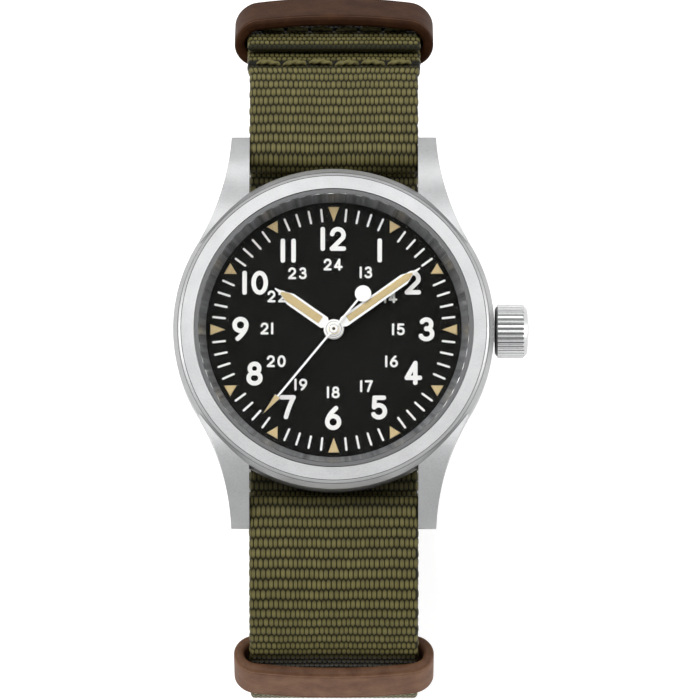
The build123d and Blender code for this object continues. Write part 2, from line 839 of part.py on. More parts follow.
def barrel_arbor():
    """The arbor that the mainspring winds on to, from the ratchet wheel to the main plate."""
    low = barrel_z + barrel_lid + gap
    high = barrel_z + barrel_h - barrel_floor - gap
    body = disc(arbor_post_r, ratchet_z + ratchet_t, barrel_z + barrel_h + gap / 2, barrel_at)
    body += disc(arbor_core_r, low, high, barrel_at)
    body += disc(arbor_post_r - 3 * fit, web_z - gap, recess_z - 2 * gap, barrel_at)
    half = arbor_post_r / 2
    square = block(-half, half, -half, half, ratchet_z, ratchet_z + ratchet_t + gap)
    return body + Pos(barrel_at[0], barrel_at[1], 0) * square


def spiral(inner, outer, turns, width, low, high, at):
    """A flat spiral ribbon: the radius grows evenly with the turn."""
    steps_share = 24
    count = turns * steps_share
    out_edge = []
    in_edge = []
    for i in range(count + 1):
        radius = inner + (outer - inner) * i / count
        turn = 360 * i / steps_share
        out_edge.append(polar(radius + width / 2, turn, at))
        in_edge.append(polar(radius - width / 2, turn, at))
    return plate(out_edge + in_edge[::-1], low, high)


def ratchet_wheel():
    """The ratchet wheel on the arbor's square."""
    face = turn_of(barrel_at, crown_wheel_at)
    high = ratchet_z + ratchet_t
    body = gear(ratchet_teeth, wind_module, ratchet_z, high, barrel_at, face, True)
    half = arbor_post_r / 2 + fit
    square = block(-half, half, -half, half, ratchet_z - over, high + over)
    return body - Pos(barrel_at[0], barrel_at[1], 0) * square


def crown_wheel():
    """The wheel between the winding pinion and the ratchet wheel."""
    face = turn_of(crown_wheel_at, barrel_at)
    high = ratchet_z + ratchet_t
    body = gear(crown_wheel_teeth, wind_module, ratchet_z, high, crown_wheel_at, face, False)
    return body - disc(arbor_post_r + fit, ratchet_z - over, high + over, crown_wheel_at)


def click():
    """The click: a small lever whose nose rests between two ratchet teeth."""
    high = ratchet_z + ratchet_t
    body = disc(click_r, ratchet_z, high, click_at)
    nose_r = ratchet_r + wind_module
    nose = block(nose_r, ratchet_r + click_len, -spoke_w / 2, spoke_w / 2, ratchet_z, high)
    body += Pos(barrel_at[0], barrel_at[1], 0) * Rot(0, 0, click_turn) * nose
    return body - disc(screw_r + fit, ratchet_z - over, high + over, click_at)


def click_spring():
    """The bent wire behind the click, in the click's pocket."""
    low, high = ratchet_z, ratchet_z + wire_t
    return ring(click_r + seat_gap - gap / 2, click_r + gap / 2, low, high, click_at)


mainspring_low = barrel_z + barrel_lid + gap
mainspring_high = barrel_z + barrel_h - barrel_floor - gap
mainspring_in = arbor_core_r + mainspring_t
mainspring_out = barrel_r - barrel_wall - mainspring_t
save("barrel_drum", barrel_drum())
save(
    "barrel_cover",
    ring(barrel_r - barrel_wall - fit, arbor_post_r + fit, barrel_z, barrel_z + barrel_lid, barrel_at),
)
save("barrel_arbor", barrel_arbor())
save(
    "mainspring",
    spiral(
        mainspring_in, mainspring_out, mainspring_turns, mainspring_t, mainspring_low, mainspring_high, barrel_at
    ),
)
save("ratchet_wheel", ratchet_wheel())
save("crown_wheel", crown_wheel())
save("click", click())
save("click_spring", click_spring())

# Going train

def train_wheel(at, teeth, module, low, face, tooth):
    """A thin spoked wheel."""
    wheel = gear(teeth, module, low, low + wheel_t, at, face, tooth)
    return spoked(wheel, module * teeth / 2, low, low + wheel_t, at)


def centre_wheel():
    """The wheel between the barrel and the third wheel."""
    body = train_wheel(centre_at, centre_teeth, train_module, centre_z, turn_of(centre_at, third_at), True)
    low, high = barrel_teeth_z - gap, barrel_teeth_z + barrel_teeth_t + gap
    face = turn_of(centre_at, barrel_at)
    body += gear(centre_leaves, barrel_module, low, high, centre_at, face, False)
    return body + arbor(centre_at, bridge_top + gap, web_z - gap, pivot_bottom, pivot_top)


def third_wheel():
    """The wheel that drives the fourth wheel, and the cannon pinion through its long pinion."""
    body = train_wheel(third_at, third_teeth, third_module, third_z, turn_of(third_at, centre), True)
    low, high = third_z + wheel_t, cannon_z + wheel_t
    body += gear(third_leaves, train_module, low, high, third_at, turn_of(third_at, centre_at), False)
    return body + arbor(third_at, bridge_top + gap, cannon_z, pivot_bottom, dial_under - 2 * gap)


def fourth_wheel():
    """The wheel that turns once a minute and carries the seconds hand on its long arbor."""
    body = train_wheel(centre, fourth_teeth, escape_module, fourth_z, turn_of(centre, escape_at), True)
    low = fourth_z + wheel_t
    body += gear(fourth_leaves, third_module, low, low + pinion_h, centre, turn_of(centre, third_at), False)
    body += disc(staff_r, bridge_top + gap, dial_z + second_lift + second_t)
    return body + disc(pivot_r, pivot_bottom, bridge_top + gap)


def escape_wheel():
    """The escape wheel, with hooked teeth, on its pinion."""
    pitch = 360 / escape_teeth
    points = []
    for i in range(escape_teeth):
        points.append(polar(escape_r * (1 - tooth_root_share), i * pitch, escape_at))
        points.append(polar(escape_r, i * pitch + tooth_root_share * pitch, escape_at))
        points.append(polar(escape_r, i * pitch + 2 * tooth_root_share * pitch, escape_at))
    body = plate(points, escape_z, escape_z + wheel_t)
    body = spoked(body, escape_r * (1 - tooth_root_share) + rim_w / 2, escape_z, escape_z + wheel_t, escape_at)
    face = turn_of(escape_at, centre)
    high = fourth_z + wheel_t + gap
    body += gear(escape_leaves, escape_module, bridge_top + gap, high, escape_at, face, False)
    return body + arbor(escape_at, bridge_top + gap, web_z - gap, pivot_bottom, pivot_top)


def pallet_fork():
    """The lever between the escape wheel and the balance, with two pallet stones."""
    low, high = escape_z, escape_z + wheel_t
    half = pallet_span / 2
    arm = block(-pallet_w / 2, pallet_w / 2, -half, half, low, high)
    bar = block(0, fork_len, -fork_w / 2, fork_w / 2, low, high)
    mouth = block(fork_len - 2 * fork_w, fork_len, -fork_mouth_w / 2, fork_mouth_w / 2, low, high)
    slot = block(fork_len - fork_w, fork_len + over, -fork_slot / 2, fork_slot / 2, low - over, high + over)
    body = arm + bar + mouth - slot
    for side in (-half, half - pallet_w):
        body += block(-pallet_w / 2 - stone_len, pallet_w / 2, side, side + pallet_w, low, high)
    body = Pos(pallet_at[0], pallet_at[1], 0) * Rot(0, 0, line_turn) * body
    body += disc(arbor_r, pallet_bridge_z + pallet_bridge_t + gap, web_z - gap, pallet_at)
    return body + disc(pivot_r, pallet_bridge_z + gap, pivot_top, pallet_at)


def balance_wheel():
    """The balance with its staff, roller and impulse pin."""
    low, high = balance_z, balance_z + balance_t
    body = ring(balance_r, balance_r - balance_rim, low, high, balance_at)
    reach = balance_r - balance_rim / 2
    bar = block(-reach, reach, -spoke_w / 2, spoke_w / 2, low, high)
    body += Pos(balance_at[0], balance_at[1], 0) * bar
    body += disc(roller_r, roller_z + wheel_t + gap, roller_z + wheel_t + gap + roller_t, balance_at)
    pin_at = polar(impulse_at, line_turn + 180, balance_at)
    body += disc(impulse_r, roller_z + wheel_t, roller_z + wheel_t + 2 * gap, pin_at)
    body += disc(staff_r, bridge_top + gap, web_z - gap, balance_at)
    return body + disc(pivot_r, pivot_bottom, pivot_top, balance_at)


def shock_setting():
    """The sprung jewel setting in the balance cock."""
    body = ring(shock_r - fit, pivot_r + fit, bridge_top - shock_t, bridge_top, balance_at)
    return body


save("centre_wheel", centre_wheel())
save("third_wheel", third_wheel())
save("fourth_wheel", fourth_wheel())
save("escape_wheel", escape_wheel())
save("pallet_fork", pallet_fork())
save("balance_wheel", balance_wheel())
hairspring_high = hairspring_z + hairspring_h
hairspring = spiral(
    hairspring_in_r, hairspring_r, hairspring_turns, hairspring_t, hairspring_z, hairspring_high, balance_at
)
collet = ring(hairspring_in_r, staff_r + fit, hairspring_z, hairspring_high, balance_at)
save("hairspring", hairspring + collet)
save("shock_setting", shock_setting())

# Motion work

def cannon_pinion():
    """The cannon pinion with its driving wheel, on the centre tube."""
    body = train_wheel(centre, centre_teeth, train_module, cannon_z, turn_of(centre, third_at), True)
    low, high = cannon_z + wheel_t, hour_z - gap
    body += gear(cannon_leaves, motion_module, low, high, centre, turn_of(centre, minute_at), False)
    body += disc(cannon_r, cannon_z, minute_low + hand_t)
    return body - disc(tube_r + fit, cannon_z - over, minute_low + over)


def hour_wheel():
    """The hour wheel and its tube, round the cannon pinion."""
    face = turn_of(centre, minute_at)
    body = gear(hour_teeth, train_module, hour_z, hour_z + wheel_t, centre, face, True)
    body += disc(hour_tube_r, hour_z, hour_low + hand_t)
    return body - disc(hour_tube_in_r, hour_z - over, hour_low + over)


def minute_wheel():
    """The wheel and pinion between the cannon pinion and the hour wheel."""
    face = turn_of(minute_at, centre)
    body = gear(minute_teeth, motion_module, minute_z, minute_z + wheel_t, minute_at, face, True)
    low, high = minute_z + wheel_t, hour_z + wheel_t + gap
    body += gear(minute_leaves, train_module, low, high, minute_at, face, False)
    return body - disc(arbor_r + fit, minute_z - over, high + over, minute_at)


def setting_wheel():
    """The wheel that the sliding pinion reaches when the crown is pulled."""
    face = turn_of(setting_at, minute_at)
    body = gear(setting_teeth, motion_module, minute_z, minute_z + wheel_t, setting_at, face, False)
    return body - disc(arbor_r + fit, minute_z - over, minute_z + over, setting_at)


save("cannon_pinion", cannon_pinion())
save("hour_wheel", hour_wheel())
save("minute_wheel", minute_wheel())
save("setting_wheel", setting_wheel())

# Keyless work, crown and stem

def along_stem(shape, x):
    """Turn an upright shape on to the stem's axis, its low end at x."""
    return Pos(x, 0, stem_z) * Rot(0, 90, 0) * shape


def winding_stem():
    """The stem, square for the sliding pinion and grooved for the setting lever."""
    crown_x = case_r + crown_gap
    body = rod_x(stem_r, winding_x, crown_x + crown_screw)
    half = square_w / 2
    body += block(stem_in_x, winding_x + gap, -half, half, stem_z - half, stem_z + half)
    side = stem_groove / 2
    groove = rod_x(stem_r + over, lever_pin_x - side, lever_pin_x + side)
    return body - (groove - rod_x(stem_groove_r, lever_pin_x - over, lever_pin_x + over))


def sliding_pinion():
    """The sliding pinion, on the stem's square, with a groove for the yoke."""
    module = 2 * sliding_r / (winding_leaves + 2 * tooth_out_share)
    body = gear(winding_leaves, module, 0, sliding_len)
    groove_low = (sliding_len - collar_w) / 2
    body -= ring(sliding_r + over, collar_r, groove_low, groove_low + collar_w)
    hole = square_w / 2 + fit
    body -= block(-hole, hole, -hole, hole, -over, sliding_len + over)
    return along_stem(body, sliding_x)


def winding_pinion():
    """The winding pinion, free on the stem's round part."""
    module = 2 * winding_r / (winding_leaves + 2 * tooth_out_share)
    body = gear(winding_leaves, module, 0, winding_len)
    return along_stem(body - disc(stem_r + fit, -over, winding_len + over), winding_x + gap)


def setting_lever():
    """The lever whose pin sits in the stem's groove."""
    high = lever_z + lever_t
    pin_y = lever_pivot[1] - math.sqrt(lever_pivot[1] ** 2 - (lever_pivot[0] - lever_pin_x) ** 2)
    pin_at = (lever_pin_x, pin_y)
    reach = math.dist(lever_pivot, pin_at)
    bar = block(0, reach, -lever_w / 2, lever_w / 2, lever_z, high)
    body = Pos(*lever_pivot, 0) * Rot(0, 0, turn_of(lever_pivot, pin_at)) * bar
    body += disc(lever_w / 2, lever_z, high, lever_pivot) + disc(lever_w / 2, lever_z, high, pin_at)
    body += disc(lever_pin_r, stem_z + stem_groove_r + gap, lever_z, pin_at)
    return body + disc(arbor_r, key_floor_z + gap / 2, lever_z, lever_pivot)


def yoke():
    """The lever whose pin moves the sliding pinion."""
    high = lever_z + lever_t
    pin_at = (sliding_x + sliding_len / 2, 0)
    reach = math.dist(yoke_pivot, pin_at)
    bar = block(0, reach, -yoke_w / 2, yoke_w / 2, lever_z, high)
    body = Pos(*yoke_pivot, 0) * Rot(0, 0, turn_of(yoke_pivot, pin_at)) * bar
    body += disc(yoke_w / 2, lever_z, high, yoke_pivot)
    body += disc(yoke_pin_r, stem_z + collar_r + gap, lever_z, pin_at)
    return body + disc(arbor_r, key_floor_z + gap / 2, lever_z, yoke_pivot)


def crown():
    """The grooved crown, hollow over the tube."""
    dome_z = crown_len - crown_dome
    rim_z = dome_z - crown_chamfer
    flat_r = crown_r - crown_chamfer
    dome_r = (flat_r**2 + crown_dome**2) / (2 * crown_dome)
    body = lathe((0, 0), (crown_r, 0), (crown_r, rim_z), (flat_r, dome_z), (flat_r, crown_len), (0, crown_len))
    body &= Pos(0, 0, crown_len - dome_r) * Sphere(dome_r)
    for i in range(crown_grooves):
        at = polar(crown_r, i * 360 / crown_grooves)
        body -= disc(crown_groove, -over, rim_z + crown_chamfer / 2, at)
    body -= disc(crown_cavity_r, -over, crown_cavity)
    body -= disc(stem_r + fit / 2, -over, crown_screw + gap)
    return along_stem(body, case_r + crown_gap)


gasket_bore = tube_out_r + fit
tube_in_x = ring_bore_r + tube_in
tube_out_x = case_r + tube_out
crown_tube = rod_x(tube_out_r, tube_in_x, tube_out_x) - rod_x(tube_bore_r, tube_in_x - over, tube_out_x + over)
crown_gasket_x = case_r + crown_gap + crown_gasket_in
crown_gasket = rod_x(gasket_bore + crown_gasket_t, crown_gasket_x, crown_gasket_x + crown_gasket_w)
crown_gasket -= rod_x(gasket_bore, crown_gasket_x - over, crown_gasket_x + crown_gasket_w + over)
save("winding_stem", winding_stem())
save("sliding_pinion", sliding_pinion())
save("winding_pinion", winding_pinion())
save("setting_lever", setting_lever())
save("yoke", yoke())
save("crown", crown())
save("crown_tube", crown_tube)
save("crown_gasket", crown_gasket)

# Spring bars

bar_in_r = bar_r - bar_wall
bar_len = lug_gap - 2 * bar_end_gap


def bar_tube(side):
    """One spring bar's tube, necked at its ends to hold the pins' shoulders."""
    half = bar_len / 2
    y = side * bar_y
    body = rod_x(bar_r, -half, half, y, bar_z)
    body -= rod_x(bar_in_r, -half + bar_wall, half - bar_wall, y, bar_z)
    return body - rod_x(pin_r + fit, -half - over, half + over, y, bar_z)


def bar_pin(side_x, side_y):
    """One sprung pin with its shoulder inside the tube."""
    y = side_y * bar_y
    tip = lug_gap / 2 + pin_out
    shoulder_x = bar_len / 2 - bar_wall - gap
    body = rod_x(pin_r, shoulder_x - pin_shoulder, tip, y, bar_z)
    body += rod_x(pin_shoulder_r, shoulder_x - pin_shoulder, shoulder_x, y, bar_z)
    return body if side_x > 0 else mirror(body, Plane.YZ)


def bar_coil(side):
    """The coil spring between the two pins of a bar."""
    length = bar_len - 2 * (bar_wall + pin_shoulder + pin_out + seat_gap)
    pitch = length / bar_coil_turns
    path = Helix(pitch, length, bar_coil_r)
    start = path @ 0
    section = Plane(start, z_dir=path % 0) * Circle(bar_coil_wire_r)
    coil = sweep(section, path)
    return Pos(-length / 2, side * bar_y, bar_z) * Rot(0, 90, 0) * coil


save("spring_bar_tubes", Compound(children=[bar_tube(side) for side in (-1, 1)]))
save("spring_bar_springs", Compound(children=[bar_coil(side) for side in (-1, 1)]))
for side_name, side_y in (("top", 1), ("bottom", -1)):
    save(f"spring_bar_pin_{side_name}_crown_side", bar_pin(1, side_y))
    save(f"spring_bar_pin_{side_name}_left_side", bar_pin(-1, side_y))

# Strap: one route of corners and radii seen along X, on the middle of the strap's thickness. It runs
# from the buckle's bar up the 12 side, over and under the bars and the case, down the 6 side and back
# as the tail, with the wrist on its left

strap_w = lug_gap - 2 * strap_side_gap
under_z = back_z - under_gap
side_y12 = bar_y + side_out12
side_y6 = bar_y + side_out6
half_t = strap_t / 2
eye_r = buckle_bar_r + seat_gap + strap_t
wrap_r = bar_r + bar_wrap_gap + half_t
layer = strap_t + layer_gap


def bar_corner(side, shoulder):
    """The corner over a spring bar: a wall beside the bar meets the tangent to the first shoulder."""
    out, up = abs(shoulder[0]) - bar_y, shoulder[1] - bar_z
    angle = math.asin(wrap_r / math.hypot(out, up)) - math.atan2(up, out)
    rise = wrap_r * (1 + math.sin(angle)) / math.cos(angle)
    return (side * (bar_y - wrap_r), bar_z + rise)


def right_of(a, b):
    """The unit normal to the right of the way from a to b."""
    length = math.dist(a, b)
    return ((b[1] - a[1]) / length, (a[0] - b[0]) / length)


def mitred(point, before, after, depth):
    """A corner moved by a depth to the right of the route."""
    n1, n2 = right_of(before, point), right_of(point, after)
    scale = depth / (1 + n1[0] * n2[0] + n1[1] * n2[1])
    return (point[0] + scale * (n1[0] + n2[0]), point[1] + scale * (n1[1] + n2[1]))


def moved(points, depth):
    """An open route moved sideways; positive is to the right, away from the wrist."""
    first = (2 * points[0][0] - points[1][0], 2 * points[0][1] - points[1][1])
    last = (2 * points[-1][0] - points[-2][0], 2 * points[-1][1] - points[-2][1])
    full = [first, *points, last]
    return [mitred(full[i], full[i - 1], full[i + 1], depth) for i in range(1, len(full) - 1)]


def turned(a, b, c):
    """1 where the route turns left at b, -1 where it turns right."""
    return 1 if (b[0] - a[0]) * (c[1] - b[1]) - (b[1] - a[1]) * (c[0] - b[0]) > 0 else -1


def toward(a, b, length):
    """The point at a distance from a on the way to b."""
    share = length / math.dist(a, b)
    return (a[0] + share * (b[0] - a[0]), a[1] + share * (b[1] - a[1]))


def ribbon(points, radii, thickness, width):
    """A strip of the thickness and width along the middle of its route."""
    edges = []
    for shift in (-thickness / 2, thickness / 2):
        bends = []
        for i, radius in enumerate(radii):
            bends.append(radius + shift * turned(*points[i:i + 3]))
        edges.append(FilletPolyline(*moved(points, shift), radius=bends))
    left, right = edges
    outline = [*left.edges(), *right.edges(), Line(left @ 0, right @ 0), Line(left @ 1, right @ 1)]
    face = Plane.YZ * make_face(outline)
    return Pos(-width / 2, 0, 0) * extrude(face, width, dir=(1, 0, 0))


low_mid = bottom_z + half_t
eye_z = bottom_z + eye_r
under_mid = under_z - half_t
upper12 = [(side_y12 - y, bar_z - z) for y, z in shoulder12[::-1]]
upper6 = [(y - side_y6, bar_z - z) for y, z in shoulder6]
low12 = [(side_y12 - low_in12, bottom_z), (side_y12, low_side_z)]
low6 = [(-side_y6, low_side_z), (low_in6 - side_y6, bottom_z)]
over_bar_z = bar_z + wrap_r + half_t
outer12 = [(0, bottom_z), *low12, *upper12, (bar_y, over_bar_z)]
outer6 = [(-bar_y, over_bar_z), *upper6, *low6, (0, bottom_z)]
route12 = moved(outer12, -half_t)[1:-1]
route6 = moved(outer6, -half_t)[1:-1]
corner12 = bar_corner(1, route12[-1])
corner6 = bar_corner(-1, route6[0])
under12 = (bar_y - wrap_r, under_mid)
under6 = (wrap_r - bar_y, under_mid)
tail12 = moved([(0, low_mid), *route12], layer)[1:-1]
tail_tip = toward(tail12[2], tail12[3], tail_up)
level_step = (-step_y, low_mid)
tail_step = (step_y, low_mid - layer)
main_route = [(buckle_y, low_mid), *route12, corner12, under12, under6, corner6, *route6]
main_route += [level_step, tail_step, *tail12[:3], tail_tip]
main_radii = [low_r, low_r, *shoulder_r12[::-1], bend_r, bend_r, bend_r, bend_r, *shoulder_r6, low_r, low_r]
main_radii += [step_r, step_r, low_r + layer, low_r + layer, shoulder_r12[-1] + layer]
tongue_drop_y = buckle_y - tongue_drop
tongue_y = tongue_drop_y - tongue_hole / 2
strap_half = strap_w / 2


def main_strap():
    """The long strap, with its eye round the buckle's bar and the holes in its tail."""
    body = ribbon(main_route, main_radii, strap_t, strap_w)
    body += rod_x(eye_r, -strap_half, strap_half, buckle_y, eye_z)
    low = bottom_z + strap_t
    body += block(-strap_half, strap_half, buckle_y, buckle_y + return_len, low - half_t, low + strap_t)
    body -= rod_x(eye_r - strap_t, -strap_half - over, strap_half + over, buckle_y, eye_z)
    slot = tongue_w / 2 + layer_gap
    end_y = buckle_y + eye_r + gap
    body -= block(-slot, slot, buckle_y - eye_r - gap, end_y, bottom_z - gap, eye_z + eye_r + gap)
    low, high = bottom_z - seat_gap, bottom_z + strap_t + seat_gap
    half = tongue_w / 2 + seat_gap
    body -= block(-half, half, tongue_drop_y - tongue_hole, tongue_drop_y + tongue_room, low, high)
    for i in range(hole_count):
        body -= disc(hole_r, low, high, (0, tongue_y - hole_first - i * hole_pitch))
    return body


flap_mid = under_mid - strap_t - flap_gap
flap12 = moved([*route12, corner12], -layer)
flap_depth6 = strap_t + keeper_t + keeper_gap + layer_gap / 2
flap6 = moved([corner6, *route6], -flap_depth6)
flap_start_at = toward(flap12[3], flap12[2], flap_start)
flap_end_at = toward(flap6[2], flap6[3], keeper6_down + keeper_w / 2 + flap_end)
flap_level = bar_y - flap_out_y


def flap_strap():
    """The short strap under the case, from its seam on the 12 side to the keeper on the 6 side."""
    points = [flap_start_at, flap12[3], (flap_level, flap_mid), (-flap_level, flap_mid), flap6[2], flap_end_at]
    return ribbon(points, [flap_r, flap_r, flap_r, flap_r], strap_t, strap_w)


keeper_bore_w = strap_w + 2 * keeper_side_gap
keeper_len = keeper_bore_w + 2 * keeper_side
fixed_bore = strap_t + layer + 2 * keeper_gap
keeper12_bore = fixed_bore + keeper_slack
keeper6_bore = strap_t + layer


def keeper(at, along, bore):
    """A leather loop round the strap: its bore's inner wall at the point given, open along the strap."""
    outward = right_of((0, 0), along)
    out = bore / 2
    middle = (0, at[0] + out * outward[0], at[1] + out * outward[1])
    pose = Plane(middle, x_dir=(1, 0, 0), z_dir=(0, *along))
    face = SlotOverall(keeper_len, bore + 2 * keeper_t) - SlotOverall(keeper_bore_w, bore)
    body = pose * extrude(face, keeper_w / 2, both=True)
    return fillet(body.edges().filter_by(GeomType.LINE, reverse=False).filter_by(Axis.X), keeper_edge)


def keeper_on(route, i, length, bore):
    """A keeper round the strap at a distance from a corner of its route."""
    spot = toward(route[i], route[i + 1], length)
    unit = right_of(route[i], route[i + 1])
    inner = half_t + keeper_gap
    at = (spot[0] - inner * unit[0], spot[1] - inner * unit[1])
    return keeper(at, (-unit[1], unit[0]), bore)


frame_in_x = strap_half + frame_gap
frame_out_x = frame_in_x + frame_arm
frame_front_y = buckle_y - frame_reach
frame_back_y = buckle_y + frame_back
stand_z = bottom_z - layer - keeper_gap - keeper_t - stand_gap
front_top = bottom_z - layer_gap


def buckle_frame():
    """The buckle's frame with its bar, flat on its outer face, notched for the tongue."""
    top = eye_z + buckle_bar_r + frame_rise
    front = frame_front_y - frame_bar
    side = [
        (front, stand_z),
        (frame_back_y, stand_z),
        (frame_back_y, top),
        (buckle_y - eye_r, top),
        (front, front_top),
    ]
    profile = extrude(Plane.YZ * make_face(Polyline(*side, close=True)), frame_out_x, both=True)
    profile = fillet(profile.edges().filter_by(Axis.X), frame_edge)
    window = block(-frame_in_x, frame_in_x, frame_front_y, frame_back_y + over, stand_z - over, top + over)
    body = profile - window
    body -= block(-frame_in_x, frame_in_x, front - over, frame_front_y + over, front_top, top + over)
    half = tongue_w / 2 + layer_gap / 2
    notch_top = stand_z + tongue_rest + tongue_t + seat_gap
    body -= block(-half, half, front - over, frame_front_y + over, stand_z - over, notch_top)
    return body + rod_x(buckle_bar_r, -frame_in_x, frame_in_x, buckle_y, eye_z)


def buckle_tongue():
    """The tongue: a hub on the bar and an arm through the strap to the front bar."""
    half = tongue_w / 2
    rest_z = stand_z + tongue_rest + tongue_t / 2
    level_z = bottom_z + strap_t + tongue_level + tongue_t / 2
    foot_y = tongue_drop_y - (level_z - rest_z)
    tip_y = frame_front_y - frame_bar - tongue_past
    points = [(buckle_y - eye_r + strap_t, eye_z), (tongue_drop_y, level_z), (foot_y, rest_z), (tip_y, rest_z)]
    arm = ribbon(points, [tongue_bend_r, tongue_bend_r], tongue_t, tongue_w)
    hub = rod_x(buckle_bar_r + tongue_hub_t, -half, half, buckle_y, eye_z)
    body = arm + hub
    return body - rod_x(buckle_bar_r + gap, -half - over, half + over, buckle_y, eye_z)


save("main_strap", main_strap())
save("flap_strap", flap_strap())
save("keeper_upper", keeper_on(route12, 2, keeper12_up, keeper12_bore))
save("keeper_lower", keeper_on(route6, 1, keeper6_down, keeper6_bore))
fixed_keeper_y = buckle_y + return_len + layer_gap + keeper_w / 2
bottom_run = [(0, low_mid), route12[0]]
save("keeper_fixed", keeper_on(bottom_run, 0, fixed_keeper_y, fixed_bore))
save("buckle_frame", buckle_frame())
save("buckle_tongue", buckle_tongue())
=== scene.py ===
import math

import bpy
import numpy as np
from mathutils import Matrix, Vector


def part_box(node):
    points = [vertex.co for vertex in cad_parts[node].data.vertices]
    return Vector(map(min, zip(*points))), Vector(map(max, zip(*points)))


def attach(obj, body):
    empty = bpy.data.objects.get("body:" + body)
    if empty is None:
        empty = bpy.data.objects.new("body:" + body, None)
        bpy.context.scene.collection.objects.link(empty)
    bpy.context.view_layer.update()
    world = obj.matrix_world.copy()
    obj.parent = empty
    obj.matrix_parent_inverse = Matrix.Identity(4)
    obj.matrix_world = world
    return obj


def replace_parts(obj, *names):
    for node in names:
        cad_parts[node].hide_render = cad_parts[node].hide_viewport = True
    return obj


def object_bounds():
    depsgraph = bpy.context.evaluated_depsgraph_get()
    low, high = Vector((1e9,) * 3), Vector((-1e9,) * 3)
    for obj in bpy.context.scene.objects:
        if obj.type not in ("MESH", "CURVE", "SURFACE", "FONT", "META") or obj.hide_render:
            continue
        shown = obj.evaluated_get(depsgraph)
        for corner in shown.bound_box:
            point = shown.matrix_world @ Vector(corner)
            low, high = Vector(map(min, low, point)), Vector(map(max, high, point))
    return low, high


# A field watch seen from above its dial. Sizes are millimetres, turned into metres by MM. +X points to
# the crown, +Y to 12, +Z out of the dial.

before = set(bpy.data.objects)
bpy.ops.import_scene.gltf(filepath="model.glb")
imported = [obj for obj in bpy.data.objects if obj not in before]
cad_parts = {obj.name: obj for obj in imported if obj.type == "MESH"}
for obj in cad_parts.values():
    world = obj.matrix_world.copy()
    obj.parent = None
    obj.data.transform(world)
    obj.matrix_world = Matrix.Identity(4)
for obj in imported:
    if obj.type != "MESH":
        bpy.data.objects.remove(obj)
cad_low, cad_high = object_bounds()
MM = 0.001
scene = bpy.context.scene
scene.view_settings.view_transform = "Standard"

# View. The camera stands far off and looks down on the dial, tipped a little towards 6, so that the
# strap's upper end shows its outer face and the case is seen almost flat.
tilt = math.radians(5.4)
view_distance = 1100.0
view_field = 82.84
view_right = 1.92  # of the picture's middle from the dial's
view_down = 2.4
dial_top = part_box("dial")[1].z / MM
toward_camera = Vector((0, -math.sin(tilt), math.cos(tilt)))
picture_up = Vector((0, math.cos(tilt), math.sin(tilt)))
target = Vector((view_right, 0, dial_top)) - view_down * picture_up
lens = bpy.data.cameras.new("camera")
lens.sensor_width = 36
lens.lens = lens.sensor_width * view_distance / view_field
lens.clip_end = 10
camera = bpy.data.objects.new("camera", lens)
camera.location = MM * (target + view_distance * toward_camera)
camera.rotation_euler = (tilt, 0, 0)
scene.collection.objects.link(camera)
scene.camera = camera


# Stage. A white floor under the buckle and a white world. Soft lamps hang overhead and stand at each
# side, behind 12 and before 6, and a broad key lamp from 12 puts the case's shade on the strap.

def new_material(name):
    """An empty material with its node tree, output and Principled shader."""
    material = bpy.data.materials.new(name)
    material.use_nodes = True
    tree = material.node_tree
    return material, tree, tree.nodes["Principled BSDF"]


def plug(tree, made, key, value):
    """Give one input, by its name or number, a value, or link an output to it."""
    socket = made.inputs[key]
    if isinstance(value, bpy.types.NodeSocket):
        tree.links.new(value, socket)
    else:
        socket.default_value = value


def node(tree, kind, settings=None, **values):
    """Add a node, set its properties, then set or link its inputs by name."""
    made = tree.nodes.new(kind)
    for key, value in (settings or {}).items():
        setattr(made, key, value)
    for key, value in values.items():
        plug(tree, made, key.replace("_", " "), value)
    return made


def maths(tree, operation, *values):
    """A Math node on one to three values."""
    made = tree.nodes.new("ShaderNodeMath")
    made.operation = operation
    for i, value in enumerate(values):
        plug(tree, made, i, value)
    return made.outputs[0]


def ramp(tree, value, stops):
    """A colour ramp from (place, colour) stops."""
    made = tree.nodes.new("ShaderNodeValToRGB")
    plug(tree, made, 0, value)
    while len(made.color_ramp.elements) < len(stops):
        made.color_ramp.elements.new(0.5)
    for element, (place, colour) in zip(made.color_ramp.elements, stops):
        element.position = place
        element.color = (*colour, 1)
    return made.outputs[0]


def shaded(tree, colour, tone):
    """A colour made lighter or darker by a number that varies over the surface."""
    made = node(tree, "ShaderNodeVectorMath", {"operation": "SCALE"}, Scale=tone)
    plug(tree, made, 0, colour)
    return made.outputs[0]


def linear(red, green, blue):
    """A colour from screen values of 0 to 255, as the shaders read it."""
    share = np.array([red, green, blue]) / 255
    low, high = share / 12.92, ((share + 0.055) / 1.055) ** 2.4
    return tuple(float(c) for c in np.where(share <= 0.04045, low, high))


def seen_directly(tree):
    """1 for rays that the eye, a gloss or a glass sends, else 0."""
    path = tree.nodes.new("ShaderNodeLightPath")
    seen = maths(tree, "MAXIMUM", path.outputs["Is Camera Ray"], path.outputs["Is Glossy Ray"])
    return maths(tree, "MAXIMUM", seen, path.outputs["Is Transmission Ray"])


floor_size = 3000.0
floor_z = cad_low.z / MM
floor_glow = 0.8  # of the floor's white that is its own, where it is looked at
floor_grey = 0.5
world_light = 0.18
lamps = {  # watts, width, depth, place, lights plain surfaces, shows in gloss
    "overhead": (6.9, 1700, 900, (0, 300, 1500), False, True),
    "left": (3.0, 500, 500, (-1000, 30, 200), True, True),
    "right": (3.0, 500, 500, (1000, 30, 200), True, True),
    "back": (1.8, 900, 360, (0, 930, 520), False, True),
    "front": (5.6, 400, 400, (0, -1000, 110), True, False),
    "key": (17.0, 1300, 1300, (-300, 720, 1050), True, False),
}

